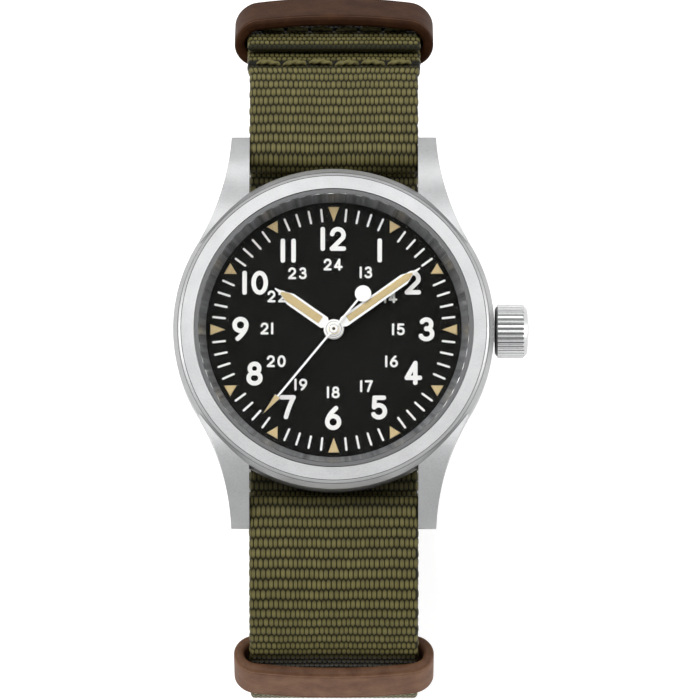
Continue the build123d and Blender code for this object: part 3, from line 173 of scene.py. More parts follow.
floor_mesh = bpy.data.meshes.new("floor")
corners = [(x * floor_size / 2, y * floor_size / 2) for x, y in ((-1, -1), (1, -1), (1, 1), (-1, 1))]
floor_mesh.from_pydata([MM * Vector((x, y, floor_z)) for x, y in corners], [], [(0, 1, 2, 3)])
floor = bpy.data.objects.new("floor", floor_mesh)
scene.collection.objects.link(floor)
floor_material, tree, shader = new_material("floor_white")
shader.inputs["Base Color"].default_value = (floor_grey, floor_grey, floor_grey, 1)
shader.inputs["Roughness"].default_value = 0.9
shader.inputs["Specular IOR Level"].default_value = 0.1
shader.inputs["Emission Color"].default_value = (1, 1, 1, 1)
plug(tree, shader, "Emission Strength", maths(tree, "MULTIPLY", seen_directly(tree), floor_glow))
floor.data.materials.append(floor_material)

world = bpy.data.worlds.new("world")
scene.world = world
world.use_nodes = True
tree = world.node_tree
world.cycles.sampling_method = "NONE"  # so that light from the world is only what each kind of ray meets
background = tree.nodes["Background"]
background.inputs["Color"].default_value = (1, 1, 1, 1)
strength = maths(tree, "MULTIPLY_ADD", seen_directly(tree), 1 - world_light, world_light)
plug(tree, background, "Strength", strength)

for side, (watts, width, depth, place, in_plain, in_gloss) in lamps.items():
    lamp = bpy.data.lights.new(f"lamp_{side}", "AREA")
    lamp.shape = "ELLIPSE"
    lamp.size, lamp.size_y = MM * width, MM * depth
    lamp.energy = watts
    stand = bpy.data.objects.new(f"lamp_{side}", lamp)
    stand.location = MM * Vector(place)
    stand.rotation_euler = stand.location.to_track_quat("Z", "Y").to_euler()
    stand.visible_diffuse, stand.visible_glossy = in_plain, in_gloss
    scene.collection.objects.link(stand)


# Case. Turned and milled from steel, then blasted with fine beads: the middle with its four lugs, the
# screwed back and the crown's pressed tube, all in the same even, slightly grainy grey.

def node_group(name, inputs, outputs):
    """A shader node group with float or colour sockets, given as (name, kind, value) and (name, kind)."""
    tree = bpy.data.node_groups.new(name, "ShaderNodeTree")
    for title, kind, value in inputs:
        socket = tree.interface.new_socket(title, in_out="INPUT", socket_type=f"NodeSocket{kind}")
        socket.default_value = value
    for title, kind in outputs:
        tree.interface.new_socket(title, in_out="OUTPUT", socket_type=f"NodeSocket{kind}")
    return tree, tree.nodes.new("NodeGroupInput").outputs, tree.nodes.new("NodeGroupOutput")


def use_group(tree, group, **values):
    """Place a node group and give its inputs by name."""
    made = tree.nodes.new("ShaderNodeGroup")
    made.node_tree = group
    for key, value in values.items():
        plug(tree, made, key, value)
    return made.outputs


def object_place(tree):
    """The place on the object, in metres."""
    return tree.nodes.new("ShaderNodeTexCoord").outputs["Object"]


def noise(tree, place, scale, detail=2.0, **values):
    """Cloudy noise, 0 to 1."""
    return node(tree, "ShaderNodeTexNoise", Vector=place, Scale=scale, Detail=detail, **values).outputs[0]


def blasted_group():
    """Blasted metal: tiny dimples, broad cloudy variation of the grey, and roughness that follows it."""
    inputs = [("Colour", "Color", (1, 1, 1, 1)), ("Roughness", "Float", 0.4), ("Size", "Float", 9000.0)]
    inputs += [("Depth", "Float", 0.1), ("Cloud", "Float", 0.05)]
    outputs = [("Colour", "Color"), ("Roughness", "Float"), ("Normal", "Vector")]
    tree, given, out = node_group("blasted", inputs, outputs)
    place = object_place(tree)
    grain = noise(tree, place, given["Size"])
    cloud = noise(tree, place, 260.0, 3.0)
    change = maths(tree, "ADD", maths(tree, "SUBTRACT", cloud, 0.5), maths(tree, "SUBTRACT", grain, 0.5))
    tone = maths(tree, "MULTIPLY_ADD", change, given["Cloud"], 1.0)
    plug(tree, out, "Colour", shaded(tree, given["Colour"], tone))
    speck = maths(tree, "MULTIPLY_ADD", maths(tree, "SUBTRACT", grain, 0.5), 0.25, given["Roughness"])
    plug(tree, out, "Roughness", speck)
    bump = node(tree, "ShaderNodeBump", Height=grain, Strength=given["Depth"], Distance=0.00003)
    plug(tree, out, "Normal", bump.outputs[0])
    return tree


blasted = blasted_group()


def plain(name, colour, roughness, metallic=0.0, gloss=0.5, size=5000.0, depth=0.12, cloud=0.1):
    """A painted, moulded or plated surface with the fine uneven skin of the group above."""
    material, tree, shader = new_material(name)
    grain = {"Size": size, "Depth": depth, "Cloud": cloud}
    look = use_group(tree, blasted, Colour=(*colour, 1), Roughness=roughness, **grain)
    shader.inputs["Metallic"].default_value = metallic
    shader.inputs["Specular IOR Level"].default_value = gloss
    plug(tree, shader, "Base Color", look["Colour"])
    plug(tree, shader, "Roughness", look["Roughness"])
    plug(tree, shader, "Normal", look["Normal"])
    return material


def metal(name, colour, roughness, size=9000.0, depth=0.35, cloud=0.1):
    """A blasted metal of the colour given."""
    return plain(name, colour, roughness, 1.0, 0.5, size, depth, cloud)


def finish_nodes(material, *names):
    """Give CAD nodes a material in all their slots."""
    for name in names:
        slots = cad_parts[name].data.materials
        if not len(slots):
            slots.append(material)
        for i in range(len(slots)):
            slots[i] = material


steel_grey = (0.37, 0.373, 0.376)
case_steel = metal("case_steel", steel_grey, 0.38, size=5200.0, depth=0.6, cloud=0.3)
finish_nodes(case_steel, "case_middle", "case_back", "crown_tube")


# Crystal. A flat disc of clear sapphire with a polished chamfer, coated against reflections, pressed
# into a black gasket. The sloping flange under it is painted dark grey; streaks round it are painted
# reflections of the dial's marks, and painted light makes it lighter towards 6 and darker towards 12.

def remap(tree, value, low, high, to_low=0.0, to_high=1.0):
    """A value carried evenly from one range to another, and held inside it."""
    ranges = {"From_Min": low, "From_Max": high, "To_Min": to_low, "To_Max": to_high}
    return node(tree, "ShaderNodeMapRange", Value=value, **ranges).outputs[0]


sapphire, tree, shader = new_material("sapphire")
shader.inputs["Base Color"].default_value = (1, 1, 1, 1)
shader.inputs["Roughness"].default_value = 0.0
shader.inputs["IOR"].default_value = 1.06  # low, as the coating leaves few reflections
shader.inputs["Transmission Weight"].default_value = 1.0
path = tree.nodes.new("ShaderNodeLightPath")
lit_through = maths(tree, "MAXIMUM", path.outputs["Is Shadow Ray"], path.outputs["Is Diffuse Ray"])
plug(tree, shader, "Alpha", maths(tree, "SUBTRACT", 1.0, lit_through))
finish_nodes(sapphire, "crystal")
gasket_grey = plain("gasket_grey", linear(88, 89, 90), 0.35)
finish_nodes(gasket_grey, "crystal_gasket", "case_back_gasket", "crown_gasket")
flange_grey, tree, shader = new_material("flange_grey")
place = object_place(tree)
flat = node(tree, "ShaderNodeVectorMath", {"operation": "MULTIPLY"})
plug(tree, flat, 0, place)
flat.inputs[1].default_value = (1, 1, 0)
way = node(tree, "ShaderNodeVectorMath", {"operation": "NORMALIZE"})
plug(tree, way, 0, flat.outputs[0])
# Painted reflection: streaks round the flange stand in for the dial's marks mirrored in it.
painted_mark_reflections = remap(tree, noise(tree, way.outputs[0], 26.0), 0.3, 0.75, 0.6, 1.9)
along_y = node(tree, "ShaderNodeSeparateXYZ", Vector=place).outputs[1]
# Painted light: lighter towards 6, darker towards 12.
painted_light_to_six = remap(tree, along_y, -0.016, 0.016, 1.3, 0.6)
tone = maths(tree, "MULTIPLY", painted_mark_reflections, painted_light_to_six)
plug(tree, shader, "Base Color", shaded(tree, linear(132, 133, 134), tone))
shader.inputs["Metallic"].default_value = 0.5
shader.inputs["Roughness"].default_value = 0.3
finish_nodes(flange_grey, "inner_flange")


# Dial. A brass disc lacquered matt black and printed in white: twelve triangles of cream lume, sixty
# bars for the minutes, round-ended numerals for 12 hours and smaller ones for 24.

def grid_faces(rows, columns, wrap=False):
    """Four-cornered faces of a grid of points in row order; with wrap the last column joins the first."""
    last = columns if wrap else columns - 1
    r, c = np.meshgrid(np.arange(rows - 1), np.arange(last), indexing="ij")
    start, after = r * columns, (c + 1) % columns
    faces = np.stack([start + c, start + after, start + columns + after, start + columns + c], -1)
    return faces.reshape(-1, 4)


def ring_faces(rows, columns):
    """Faces of a grid that closes both ways, as on a hoop."""
    return grid_faces(rows + 1, columns, wrap=True) % (rows * columns)


def make_mesh(name, points, faces, caps=(), smooth=True, uv=None, standing=None):
    """A mesh from points in millimetres and four-cornered faces, turned outward by the sign of the
    volume that they enclose. Caps are faces with any number of corners, uv is a pair of numbers for
    each point, and standing one number."""
    mesh = bpy.data.meshes.new(name)
    faces = np.asarray(faces)
    a, b, c, d = (np.asarray(points)[faces[:, i]] - np.mean(points, axis=0) for i in range(4))
    if (a * (np.cross(b - a, c - a) + np.cross(c - a, d - a))).sum() < 0:
        faces, caps = faces[:, ::-1], [np.asarray(cap)[::-1] for cap in caps]
    corners = np.concatenate([faces.ravel(), *[np.asarray(cap) for cap in caps]]).astype(np.int32)
    sizes = np.concatenate([np.full(len(faces), 4), [len(c) for c in caps]]).astype(np.int32)
    mesh.vertices.add(len(points))
    mesh.loops.add(len(corners))
    mesh.polygons.add(len(sizes))
    mesh.vertices.foreach_set("co", (MM * np.asarray(points)).astype(np.float32).ravel())
    mesh.loops.foreach_set("vertex_index", corners)
    mesh.polygons.foreach_set("loop_start", np.concatenate([[0], np.cumsum(sizes)[:-1]]).astype(np.int32))
    mesh.polygons.foreach_set("use_smooth", np.full(len(sizes), smooth))
    mesh.update(calc_edges=True)
    if uv is not None:
        layer = mesh.uv_layers.new(name="UVMap")
        layer.data.foreach_set("uv", np.asarray(uv)[corners].astype(np.float32).ravel())
    if standing is not None:
        values = mesh.attributes.new("standing", "FLOAT", "POINT")
        values.data.foreach_set("value", np.asarray(standing).astype(np.float32).ravel())
    mesh.validate()
    return mesh


def make_piece(name, points, faces, material, body, slot=None, **rest):
    """A piece of the mesh above, in one material, riding on a body."""
    mesh = make_mesh(name, points, faces, **rest)
    mesh.materials.append(material)
    piece = bpy.data.objects.new(name, mesh)
    scene.collection.objects.link(piece)
    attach(piece, body)
    return piece


def joined(parts):
    """Several (points, faces) shapes as one."""
    points, faces, start = [], [], 0
    for part_points, part_faces in parts:
        points.append(part_points)
        faces.append(part_faces + start)
        start += len(part_points)
    return np.concatenate(points), np.concatenate(faces)


cap_steps = 7
print_edge_share = 0.92  # width of a print's top as a share of its foot
print_tip = 0.04  # of the half width that is left at a stroke's very end


def section_across(path, way, wide, low, height):
    """At each point of a path a low four-cornered section lies across the way, of half width wide."""
    side = np.stack([-way[:, 1], way[:, 0]], 1)
    out = np.array([1, print_edge_share, -print_edge_share, -1])
    level = np.array([low, low + height, low + height, low])
    spots = path[:, None, :] - (wide[:, None] * out)[:, :, None] * side[:, None, :]
    points = np.concatenate([spots, np.broadcast_to(level[None, :, None], (*spots.shape[:2], 1))], 2)
    return points.reshape(-1, 3)


def stroke(path, width, low, height):
    """A raised line along a path. An open one has round ends: past each its half width falls as the
    square root of one minus the distance squared. A path that ends where it starts becomes a hoop."""
    path = np.asarray(path, float)
    if np.allclose(path[0], path[-1]):
        path = path[:-1]
        way = np.roll(path, -1, 0) - np.roll(path, 1, 0)
        way /= np.linalg.norm(way, axis=1)[:, None]
        points = section_across(path, way, np.full(len(path), width / 2), low, height)
        return points, ring_faces(len(path), 4)[:, ::-1]
    way = np.gradient(path, axis=0)
    way /= np.linalg.norm(way, axis=1)[:, None]
    half = width / 2
    turn = np.radians(np.linspace(90, 0, cap_steps, endpoint=False))
    before = path[0] - half * np.sin(turn)[:, None] * way[0]
    after = path[-1] + half * np.sin(turn[::-1])[:, None] * way[-1]
    middle = np.concatenate([before, path, after])
    ways = np.concatenate([np.repeat(way[:1], cap_steps, 0), way, np.repeat(way[-1:], cap_steps, 0)])
    round_end = np.cos(turn) + print_tip
    wide = half * np.concatenate([round_end, np.ones(len(path)), round_end[::-1]])
    points = section_across(middle, ways, np.minimum(wide, half), low, height)
    rows = len(middle)
    faces = grid_faces(rows, 4, wrap=True)[:, ::-1]
    ends = np.array([[0, 1, 2, 3], [4 * rows - 1, 4 * rows - 2, 4 * rows - 3, 4 * rows - 4]])
    return points, np.concatenate([faces, ends])


def arc(middle, wide, high, start, end, steps=22):
    """Points of an ellipse's arc between two turns in degrees."""
    turn = np.radians(np.linspace(start, end, steps))
    return np.stack([middle[0] + wide * np.cos(turn), middle[1] + high * np.sin(turn)], 1)


def line(*points):
    """Evenly spaced points along straight runs."""
    points = np.asarray(points, float)
    runs = [np.linspace(a, b, 8, endpoint=False) for a, b in zip(points[:-1], points[1:])]
    return np.concatenate([*runs, points[-1:]])


def bow(start, pull, end, steps=16):
    """A curve from start to end that leaves toward the pull point and arrives from it: the points
    (1-t)(1-t) start + 2t(1-t) pull + t*t end."""
    t = np.linspace(0, 1, steps)[:, None]
    return (1 - t) ** 2 * np.array(start) + 2 * t * (1 - t) * np.array(pull) + t**2 * np.array(end)


# Middle lines of the figures, as shares of a figure's height: x from its middle, y from its foot
figure_strokes_share = {
    "0": [arc((0, 0.5), 0.31, 0.5, 90, 450, 44)],
    "1": [line((0, 0), (0, 1))],
    "2": [
        np.concatenate([arc((0, 0.7), 0.29, 0.3, 170, -30, 26), line((0.24, 0.54), (-0.3, 0))[2:]]),
        line((-0.3, 0), (0.3, 0)),
    ],
    "3": [arc((-0.02, 0.76), 0.25, 0.24, 150, -90, 24), arc((-0.02, 0.27), 0.3, 0.27, 90, -155, 28)],
    "4": [line((0.1, 1), (-0.33, 0.25)), line((-0.33, 0.25), (0.33, 0.25)), line((0.1, 1), (0.1, 0))],
    "5": [
        line((-0.22, 1), (0.24, 1)),
        line((-0.22, 1), (-0.25, 0.53)),
        arc((-0.01, 0.31), 0.31, 0.31, 138, -150, 28),
    ],
    "6": [arc((0, 0.3), 0.3, 0.3, 90, 450, 36), bow((0.14, 1), (-0.29, 0.62), (-0.3, 0.3))],
    "7": [line((-0.3, 1), (0.3, 1)), bow((0.3, 1), (0.06, 0.52), (-0.08, 0))],
    "8": [arc((0, 0.76), 0.24, 0.24, 90, 450, 32), arc((0, 0.27), 0.3, 0.27, 90, 450, 36)],
    "9": [arc((0, 0.7), 0.3, 0.3, 90, 450, 36), bow((-0.14, 0), (0.29, 0.38), (0.3, 0.7))],
}
wide_share = 0.86  # of a figure's overall width to its middle line's height
eleven_gap = 1.4  # of the gap between two ones to the usual gap
print_height = 0.03
hour_figure = {"radius": 10.8, "height": 2.86, "stroke": 0.54, "gap": 0.52}
day_figure = {"radius": 7.75, "height": 1.42, "stroke": 0.27, "gap": 0.28}
set_over = {  # of a number from its ring, to the right and up
    1: (0.04, 0.07), 2: (0.0, 0.2), 3: (0.2, 0.04), 4: (0.06, 0.26), 5: (-0.05, 0.1), 6: (-0.07, 0.3),
    7: (-0.06, 0.15), 8: (-0.02, 0.18), 9: (-0.24, 0.1), 10: (0.05, 0.18), 11: (0.0, 0.05), 12: (-0.05, 0.0),
    13: (-0.05, 0.1), 15: (-0.1, 0.04), 16: (0.13, 0.1), 18: (-0.05, 0.3), 19: (-0.02, 0.19),
    20: (-0.1, 0.13), 21: (-0.17, 0.14), 22: (-0.03, 0.08), 23: (-0.42, 0.0), 24: (-0.1, 0.0),
}


def number(value, ring, turn):
    """A number upright at its place on the dial: its figures' strokes side by side."""
    tall = ring["height"] - ring["stroke"]
    text = str(value)
    widths = [ring["stroke"] if f == "1" else wide_share * tall for f in text]
    gap = ring["gap"] * (eleven_gap if text == "11" else 1)
    left = -(sum(widths) + gap * (len(text) - 1)) / 2
    middle = ring["radius"] * np.array([math.sin(turn), math.cos(turn)]) + set_over.get(value, (0.0, 0.0))
    shapes = []
    for figure, width in zip(text, widths):
        origin = middle + np.array([left + width / 2, -tall / 2])
        for i, path in enumerate(figure_strokes_share[figure]):
            rise = print_height * (1 - i / 15)  # each stroke a little lower than the one before
            shapes.append(stroke(origin + tall * path, ring["stroke"], dial_top, rise))
        left += width + gap
    return shapes


tick_in, tick_out, tick_w = 12.97, 14.33, 0.26
quarter_triangle = (12.83, 14.6, 1.3)  # at 12, 3, 6 and 9: tip and base from the middle, and width
hour_triangle = (13.25, 14.57, 1.48)
triangle_h = 0.12
triangle_top = 0.85  # of a triangle's top to its foot
figures, ticks, triangles = [], [], []
for hour in range(1, 13):
    turn = math.radians(30 * hour)
    figures += number(hour, hour_figure, turn)
    figures += number(hour + 12, day_figure, turn)
for minute in range(60):
    turn = math.radians(6 * minute)
    way = np.array([math.sin(turn), math.cos(turn)])
    if minute % 5:
        ticks.append(stroke(np.outer(np.linspace(tick_in, tick_out, 4), way), tick_w, dial_top, print_height))
    else:
        triangle_in, triangle_out, triangle_w = hour_triangle if minute % 15 else quarter_triangle
        side = np.array([-way[1], way[0]])
        base, tip = way * triangle_out, way * triangle_in
        flat = np.array([base + side * triangle_w / 2, base - side * triangle_w / 2, tip])
        inner = flat.mean(0) + triangle_top * (flat - flat.mean(0))
        low = np.column_stack([flat, np.full(3, dial_top)])
        high = np.column_stack([inner, np.full(3, dial_top + triangle_h)])
        triangles.append((np.concatenate([low, high]), np.array([[0, 3, 4, 1], [1, 4, 5, 2], [2, 5, 3, 0]])))

dial_black = plain("dial_black", linear(11, 11, 9), 0.6, gloss=0.03, cloud=0.4)
print_white = plain("print_white", linear(252, 252, 249), 0.5, gloss=0.2)
lume_cream = plain("lume_cream", linear(212, 190, 142), 0.75, gloss=0.1, cloud=0.25)
finish_nodes(dial_black, "dial")
make_piece("dial_figures", *joined(figures), print_white, "case", "hand_white", smooth=False)
make_piece("dial_minute_bars", *joined(ticks), print_white, "case", "hand_white", smooth=False)
points, faces = joined(triangles)
tops = [cap for i in range(12) for cap in ([6 * i + 5, 6 * i + 4, 6 * i + 3], [6 * i, 6 * i + 1, 6 * i + 2])]
make_piece("dial_triangles", points, faces, lume_cream, "case", smooth=False, caps=tops)


# Hands. Stamped and painted white, with a window filled with cream lume in the hour and minute hands
# and on the arrow of the seconds hand. The seconds hand's bush shows its bore and pin.
hand_white = plain("hand_white", linear(252, 252, 250), 0.35, gloss=0.3)
finish_nodes(hand_white, "hour_hand", "minute_hand", "second_hand")


def lume_pad(name, profile, low, height, turn, body):
    """A pillow of lume along a hand: across it the level falls as a circle's arc, and its half width
    follows the (length, half width) profile."""
    profile = np.asarray(profile, float)
    along = np.linspace(profile[0, 0], profile[-1, 0], 60)
    half = np.interp(along, profile[:, 0], profile[:, 1])
    across = np.linspace(-1, 1, 13)
    x = half[:, None] * across
    y = np.repeat(along[:, None], len(across), 1)
    z = low + height * (1 - across**2)[None, :] ** 0.5 * np.minimum(1, half / half.max() + 0.2)[:, None]
    c, s = math.cos(math.radians(turn)), math.sin(math.radians(turn))
    points = np.stack([x * c - y * s, x * s + y * c, z], -1).reshape(-1, 3)
    rows, columns = len(along), len(across)
    foot = np.arange(rows) * columns
    edge = [*range(columns), *(foot + columns - 1)[1:]]
    edge += [*range(rows * columns - 2, foot[-1] - 1, -1), *foot[1:-1][::-1]]
    return make_piece(name, points, grid_faces(rows, columns), lume_cream, body, caps=[edge[::-1]])


def turned_piece(name, profile, material, body, steps=64):
    """A profile of (radius, level) points carried round the dial's axis; the profile closes on itself
    and runs so that the piece lies to its left."""
    profile = np.asarray(profile, float)
    turn = np.linspace(0, 2 * np.pi, steps, endpoint=False)[:, None]
    x, y = profile[:, 0] * np.cos(turn), profile[:, 0] * np.sin(turn)
    points = np.stack([x, y, np.broadcast_to(profile[:, 1], x.shape)], -1)
    return make_piece(name, points.reshape(-1, 3), ring_faces(steps, len(profile)), material, body)


def washer(inner, outer, low, high, edge):
    """The profile of a flat ring with its upper edges broken."""
    foot = [(inner, low), (outer, low), (outer, high - edge)]
    return foot + [(outer - edge, high), (inner + edge, high), (inner, high - edge)]


hour_top, minute_top, second_top = (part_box(f"{hand}_hand")[1].z / MM for hand in ("hour", "minute", "second"))
pads = {  # lengths and half widths, level, height, turn from 12 to the left in degrees, body
    "hour_hand_lume": ([(1.9, 0.47), (6.7, 0.5), (7.6, 0.14)], hour_top, 0.05, 55.0, "hours"),
    "minute_hand_lume": ([(2.05, 0.38), (10.6, 0.42), (11.4, 0.12)], minute_top, 0.05, -54.6, "minutes"),
    "second_hand_lume": ([(10.42, 0.36), (12.9, 0.03)], second_top, 0.02, 140.4, "seconds"),
}
for name, pad in pads.items():
    lume_pad(name, *pad)

# Painted shade: thin grey rings at the steps of the hubs, where shade falls.
step_shade_grey = plain("step_shade_grey", linear(150, 150, 150), 0.5, gloss=0.2)
pin_dark = plain("pin_dark", linear(40, 38, 36), 0.35, metallic=0.6)
hub_rings = {  # inner and outer radius, level, height, broken edge, material, body
    "minute_hub_collar": (0.6, 0.88, minute_top, 0.08, 0.03, hand_white, "minutes"),
    "minute_hub_step_shade": (0.88, 0.95, minute_top, 0.012, 0.005, step_shade_grey, "minutes"),
    "second_hub_boss": (0.2, 0.5, second_top, 0.06, 0.025, hand_white, "seconds"),
    "second_hub_step_shade": (0.5, 0.55, second_top, 0.012, 0.005, step_shade_grey, "seconds"),
    "second_hub_pin": (0.01, 0.19, second_top, 0.02, 0.008, pin_dark, "seconds"),
}
for name, (inner, outer, low, height, edge, material, body) in hub_rings.items():
    turned_piece(name, washer(inner, outer, low, low + height, edge), material, body)


# Lines of the case. A fine dark line of painted shade parts the bezel's top from its bevel and the
# bevel from the flank, and the flange's polished lip carries a painted reflection of the minute bars as
# a ring of dashes.
# Painted shade: thin dark bands laid on the case where its edges turn.
edge_shade_dark = plain("edge_shade_dark", linear(70, 70, 70), 0.5, gloss=0.2)
bezel_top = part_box("case_middle")[1].z / MM
flange_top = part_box("inner_flange")[1].z / MM


def laid_band(name, inner, outer, lift, material):
    """A thin band round the dial's axis from one (radius, level) point to another, raised by lift."""
    inner, outer = np.array(inner), np.array(outer)
    way = (outer - inner) / np.linalg.norm(outer - inner)
    up = lift * np.array([-way[1], way[0]])
    turned_piece(name, [inner - up, outer - up, outer + up, inner + up], material, "case", steps=256)


laid_band("bezel_edge_shade", (18.02, bezel_top - 0.145), (18.09, bezel_top - 0.152), 0.012, edge_shade_dark)
laid_band("flank_edge_shade", (18.43, bezel_top - 0.55), (18.46, bezel_top - 0.602), 0.015, edge_shade_dark)
painted_lip_reflection, tree, shader = new_material("flange_lip_painted_reflection")
place = object_place(tree)
split = node(tree, "ShaderNodeSeparateXYZ", Vector=place)
turn = maths(tree, "ARCTAN2", split.outputs[1], split.outputs[0])
# Painted reflection: the lip's colour turns dark and bright sixty times round, for the minute bars mirrored in
# it.
painted_bar_reflection = maths(tree, "SINE", maths(tree, "MULTIPLY", turn, 60.0))
painted_bar_reflection = maths(tree, "ADD", painted_bar_reflection, maths(tree, "MULTIPLY_ADD", noise(tree, place, 420.0), 2.0, -1.0))
tones = [(0.4, linear(70, 70, 71)), (0.62, linear(235, 236, 237))]
plug(tree, shader, "Base Color", ramp(tree, maths(tree, "MULTIPLY_ADD", painted_bar_reflection, 0.5, 0.5), tones))
shader.inputs["Metallic"].default_value = 0.6
shader.inputs["Roughness"].default_value = 0.25
laid_band("flange_lip_painted_reflection", (15.93, flange_top + 0.01), (15.995, flange_top + 0.01), 0.012, painted_lip_reflection)


# Crown. A steel knob on its stem, with fine grooves milled along its side, darkened towards their
# bottoms by painted shade, a bevelled inner end close to the case, and a domed and polished outer end.
stem_z = sum(corner.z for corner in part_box("winding_stem")) / 2 / MM
crown_low, crown_high = (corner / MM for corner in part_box("crown"))
crown_r = (crown_high.z - crown_low.z) / 2
groove_depth = 0.17
crown_cap = 0.6  # length of the crown's ungrooved end
crown_steel, tree, shader = new_material("crown_steel")
grain = {"Size": 8000.0, "Depth": 0.3, "Cloud": 0.15}
look = use_group(tree, blasted, Colour=(0.52, 0.523, 0.526, 1), Roughness=0.3, **grain)
split = node(tree, "ShaderNodeSeparateXYZ", Vector=object_place(tree))
beside = split.outputs[1]
rise = maths(tree, "SUBTRACT", split.outputs[2], MM * stem_z)
square = maths(tree, "ADD", maths(tree, "MULTIPLY", rise, rise), maths(tree, "MULTIPLY", beside, beside))
# Painted shade: the colour darkens towards the grooves' bottoms, but not on the ungrooved end.
low, high = MM * (crown_r - groove_depth * 0.95), MM * (crown_r - groove_depth * 0.55)
unshaded_by_groove = remap(tree, maths(tree, "SQRT", square), low, high)
past_grooves = maths(tree, "GREATER_THAN", split.outputs[0], MM * (crown_high.x - crown_cap))
unshaded_by_groove = maths(tree, "MAXIMUM", unshaded_by_groove, past_grooves)
plug(tree, shader, "Base Color", shaded(tree, look["Colour"], maths(tree, "MULTIPLY_ADD", unshaded_by_groove, 0.8, 0.2)))
plug(tree, shader, "Roughness", look["Roughness"])
plug(tree, shader, "Normal", look["Normal"])
shader.inputs["Metallic"].default_value = 1.0
finish_nodes(crown_steel, "crown", "winding_stem")


def along_stem(name, profile, material, body, steps=96):
    """A closed profile of (place along X, radius) points carried round the stem's axis."""
    profile = np.asarray(profile, float)
    turn = np.linspace(0, 2 * np.pi, steps, endpoint=False)[:, None]
    y, z = profile[:, 1] * np.cos(turn), stem_z + profile[:, 1] * np.sin(turn)
    points = np.stack([np.broadcast_to(profile[:, 0], y.shape), y, z], -1).reshape(-1, 3)
    return make_piece(name, points, ring_faces(steps, len(profile)), material, body, "crown_steel")


bevel_x = crown_low.x - 0.32  # just clear of the case
bevel = [(bevel_x, 1.45), (bevel_x, 2.6), (bevel_x + 0.12, 2.85), (crown_low.x, 3.0), (crown_low.x, 1.45)]
along_stem("crown_bevel", bevel, crown_steel, "crown")


# Movement. Nickel-plated plates, gilt wheels, ruby bearings, blued springs and screws, and a pale
# plastic ring that holds it all in the case.
nickel = metal("nickel_plate", (0.62, 0.6, 0.56), 0.3, size=4000.0, depth=0.15)
brass = metal("gilt_brass", (0.78, 0.6, 0.3), 0.25, size=4000.0, depth=0.12)
polished = metal("polished_steel", (0.62, 0.62, 0.64), 0.18, size=5000.0, depth=0.08)
blued = metal("blued_steel", (0.06, 0.09, 0.3), 0.2, size=5000.0, depth=0.08)
ruby = plain("ruby", linear(170, 20, 50), 0.1)
ring_plastic = plain("ring_plastic", linear(225, 225, 220), 0.4)
movement = [
    (nickel, "mainplate barrel_bridge train_bridge balance_cock pallet_bridge motion_bridge"),
    (brass, "centre_wheel third_wheel fourth_wheel balance_wheel cannon_pinion hour_wheel minute_wheel"),
    (brass, "barrel_drum barrel_cover shock_setting"),
    (polished, "escape_wheel pallet_fork barrel_arbor ratchet_wheel crown_wheel click setting_wheel"),
    (polished, "sliding_pinion winding_pinion setting_lever yoke mainspring"),
    (blued, "hairspring bridge_screws click_spring"),
    (ruby, "jewels"),
    (ring_plastic, "movement_ring"),
    (polished, "spring_bar_tubes spring_bar_springs"),
    (polished, "spring_bar_pin_top_crown_side spring_bar_pin_top_left_side"),
    (polished, "spring_bar_pin_bottom_crown_side spring_bar_pin_bottom_left_side"),
]
for material, names in movement:
    finish_nodes(material, *names.split())


# Strap. One long band of thick nylon, woven in ribs across its width, runs from the buckle up to 12,
# over the bars and under the case, down from 6, and back under itself as the tail. Its route is seen
# along X: corners on the middle of its thickness, with the radius of each.
strap_w = 19.8
strap_t = 1.1
rib = 1.22  # along the strap
thread_columns = 34
thread = strap_w / thread_columns
strap_route = (
    (9.3, -19.9), (7.3, -19.9), (6.3, -18.1), (3.55, -18.1), (3.55, -21.0),
    (23.0, -21.0), (39.15, -3.78), (39.15, 8.9), (32.33, 21.67), (27.08, 25.48), (19.8, 27.33),
    (19.8, 22.85), (-19.8, 22.85), (-19.8, 27.19), (-31.43, 25.13), (-36.9, 20.28), (-41.5, 6.1),
    (-41.5, -4.5), (-23.77, -21.0), (-1.6, -21.0), (1.6, -22.4), (23.36, -22.4), (40.55, -4.34),
    (40.55, 9.25), (33.9, 21.8),
)
strap_radii = (
    0.8, 0.8, 1.45, 1.45, 17.5, 17.5, 20, 14.8, 15.5, 1.5, 1.5, 1.5, 1.5, 12, 11.8, 20, 16.5, 16.5,
    1.2, 1.2, 18.9, 18.9, 21.4,
)
steps_in_rib = 10


def rounded_route(corners, radii, step):
    """Evenly spaced points along straight runs joined by arcs, with the normal to the right of the way
    and the length so far. Each arc touches its two runs at the radius times the tangent of half the turn."""
    corners = np.asarray(corners, float)
    pieces = [corners[:1]]
    for before, corner, after, radius in zip(corners[:-2], corners[1:-1], corners[2:], radii):
        a = (before - corner) / np.linalg.norm(before - corner)
        b = (after - corner) / np.linalg.norm(after - corner)
        half = math.acos(np.clip(a @ b, -1, 1)) / 2
        reach = radius / math.tan(half)
        middle = corner + (a + b) / np.linalg.norm(a + b) * radius / math.sin(half)
        start, end = corner + reach * a - middle, corner + reach * b - middle
        sweep = math.atan2(start[0] * end[1] - start[1] * end[0], start @ end)
        turn = np.linspace(0, sweep, max(4, int(abs(sweep) * radius / 0.1)))[:, None]
        side = np.array([-start[1], start[0]])
        pieces.append(middle + np.cos(turn) * start + np.sin(turn) * side)
    pieces.append(corners[-1:])
    path = np.concatenate(pieces)
    length = np.concatenate([[0], np.cumsum(np.linalg.norm(np.diff(path, axis=0), axis=1))])
    at = np.arange(0, length[-1], step)
    path = np.stack([np.interp(at, length, path[:, 0]), np.interp(at, length, path[:, 1])], 1)
    way = np.gradient(path, axis=0)
    way /= np.linalg.norm(way, axis=1)[:, None]
    return path, np.stack([way[:, 1], -way[:, 0]], 1), at


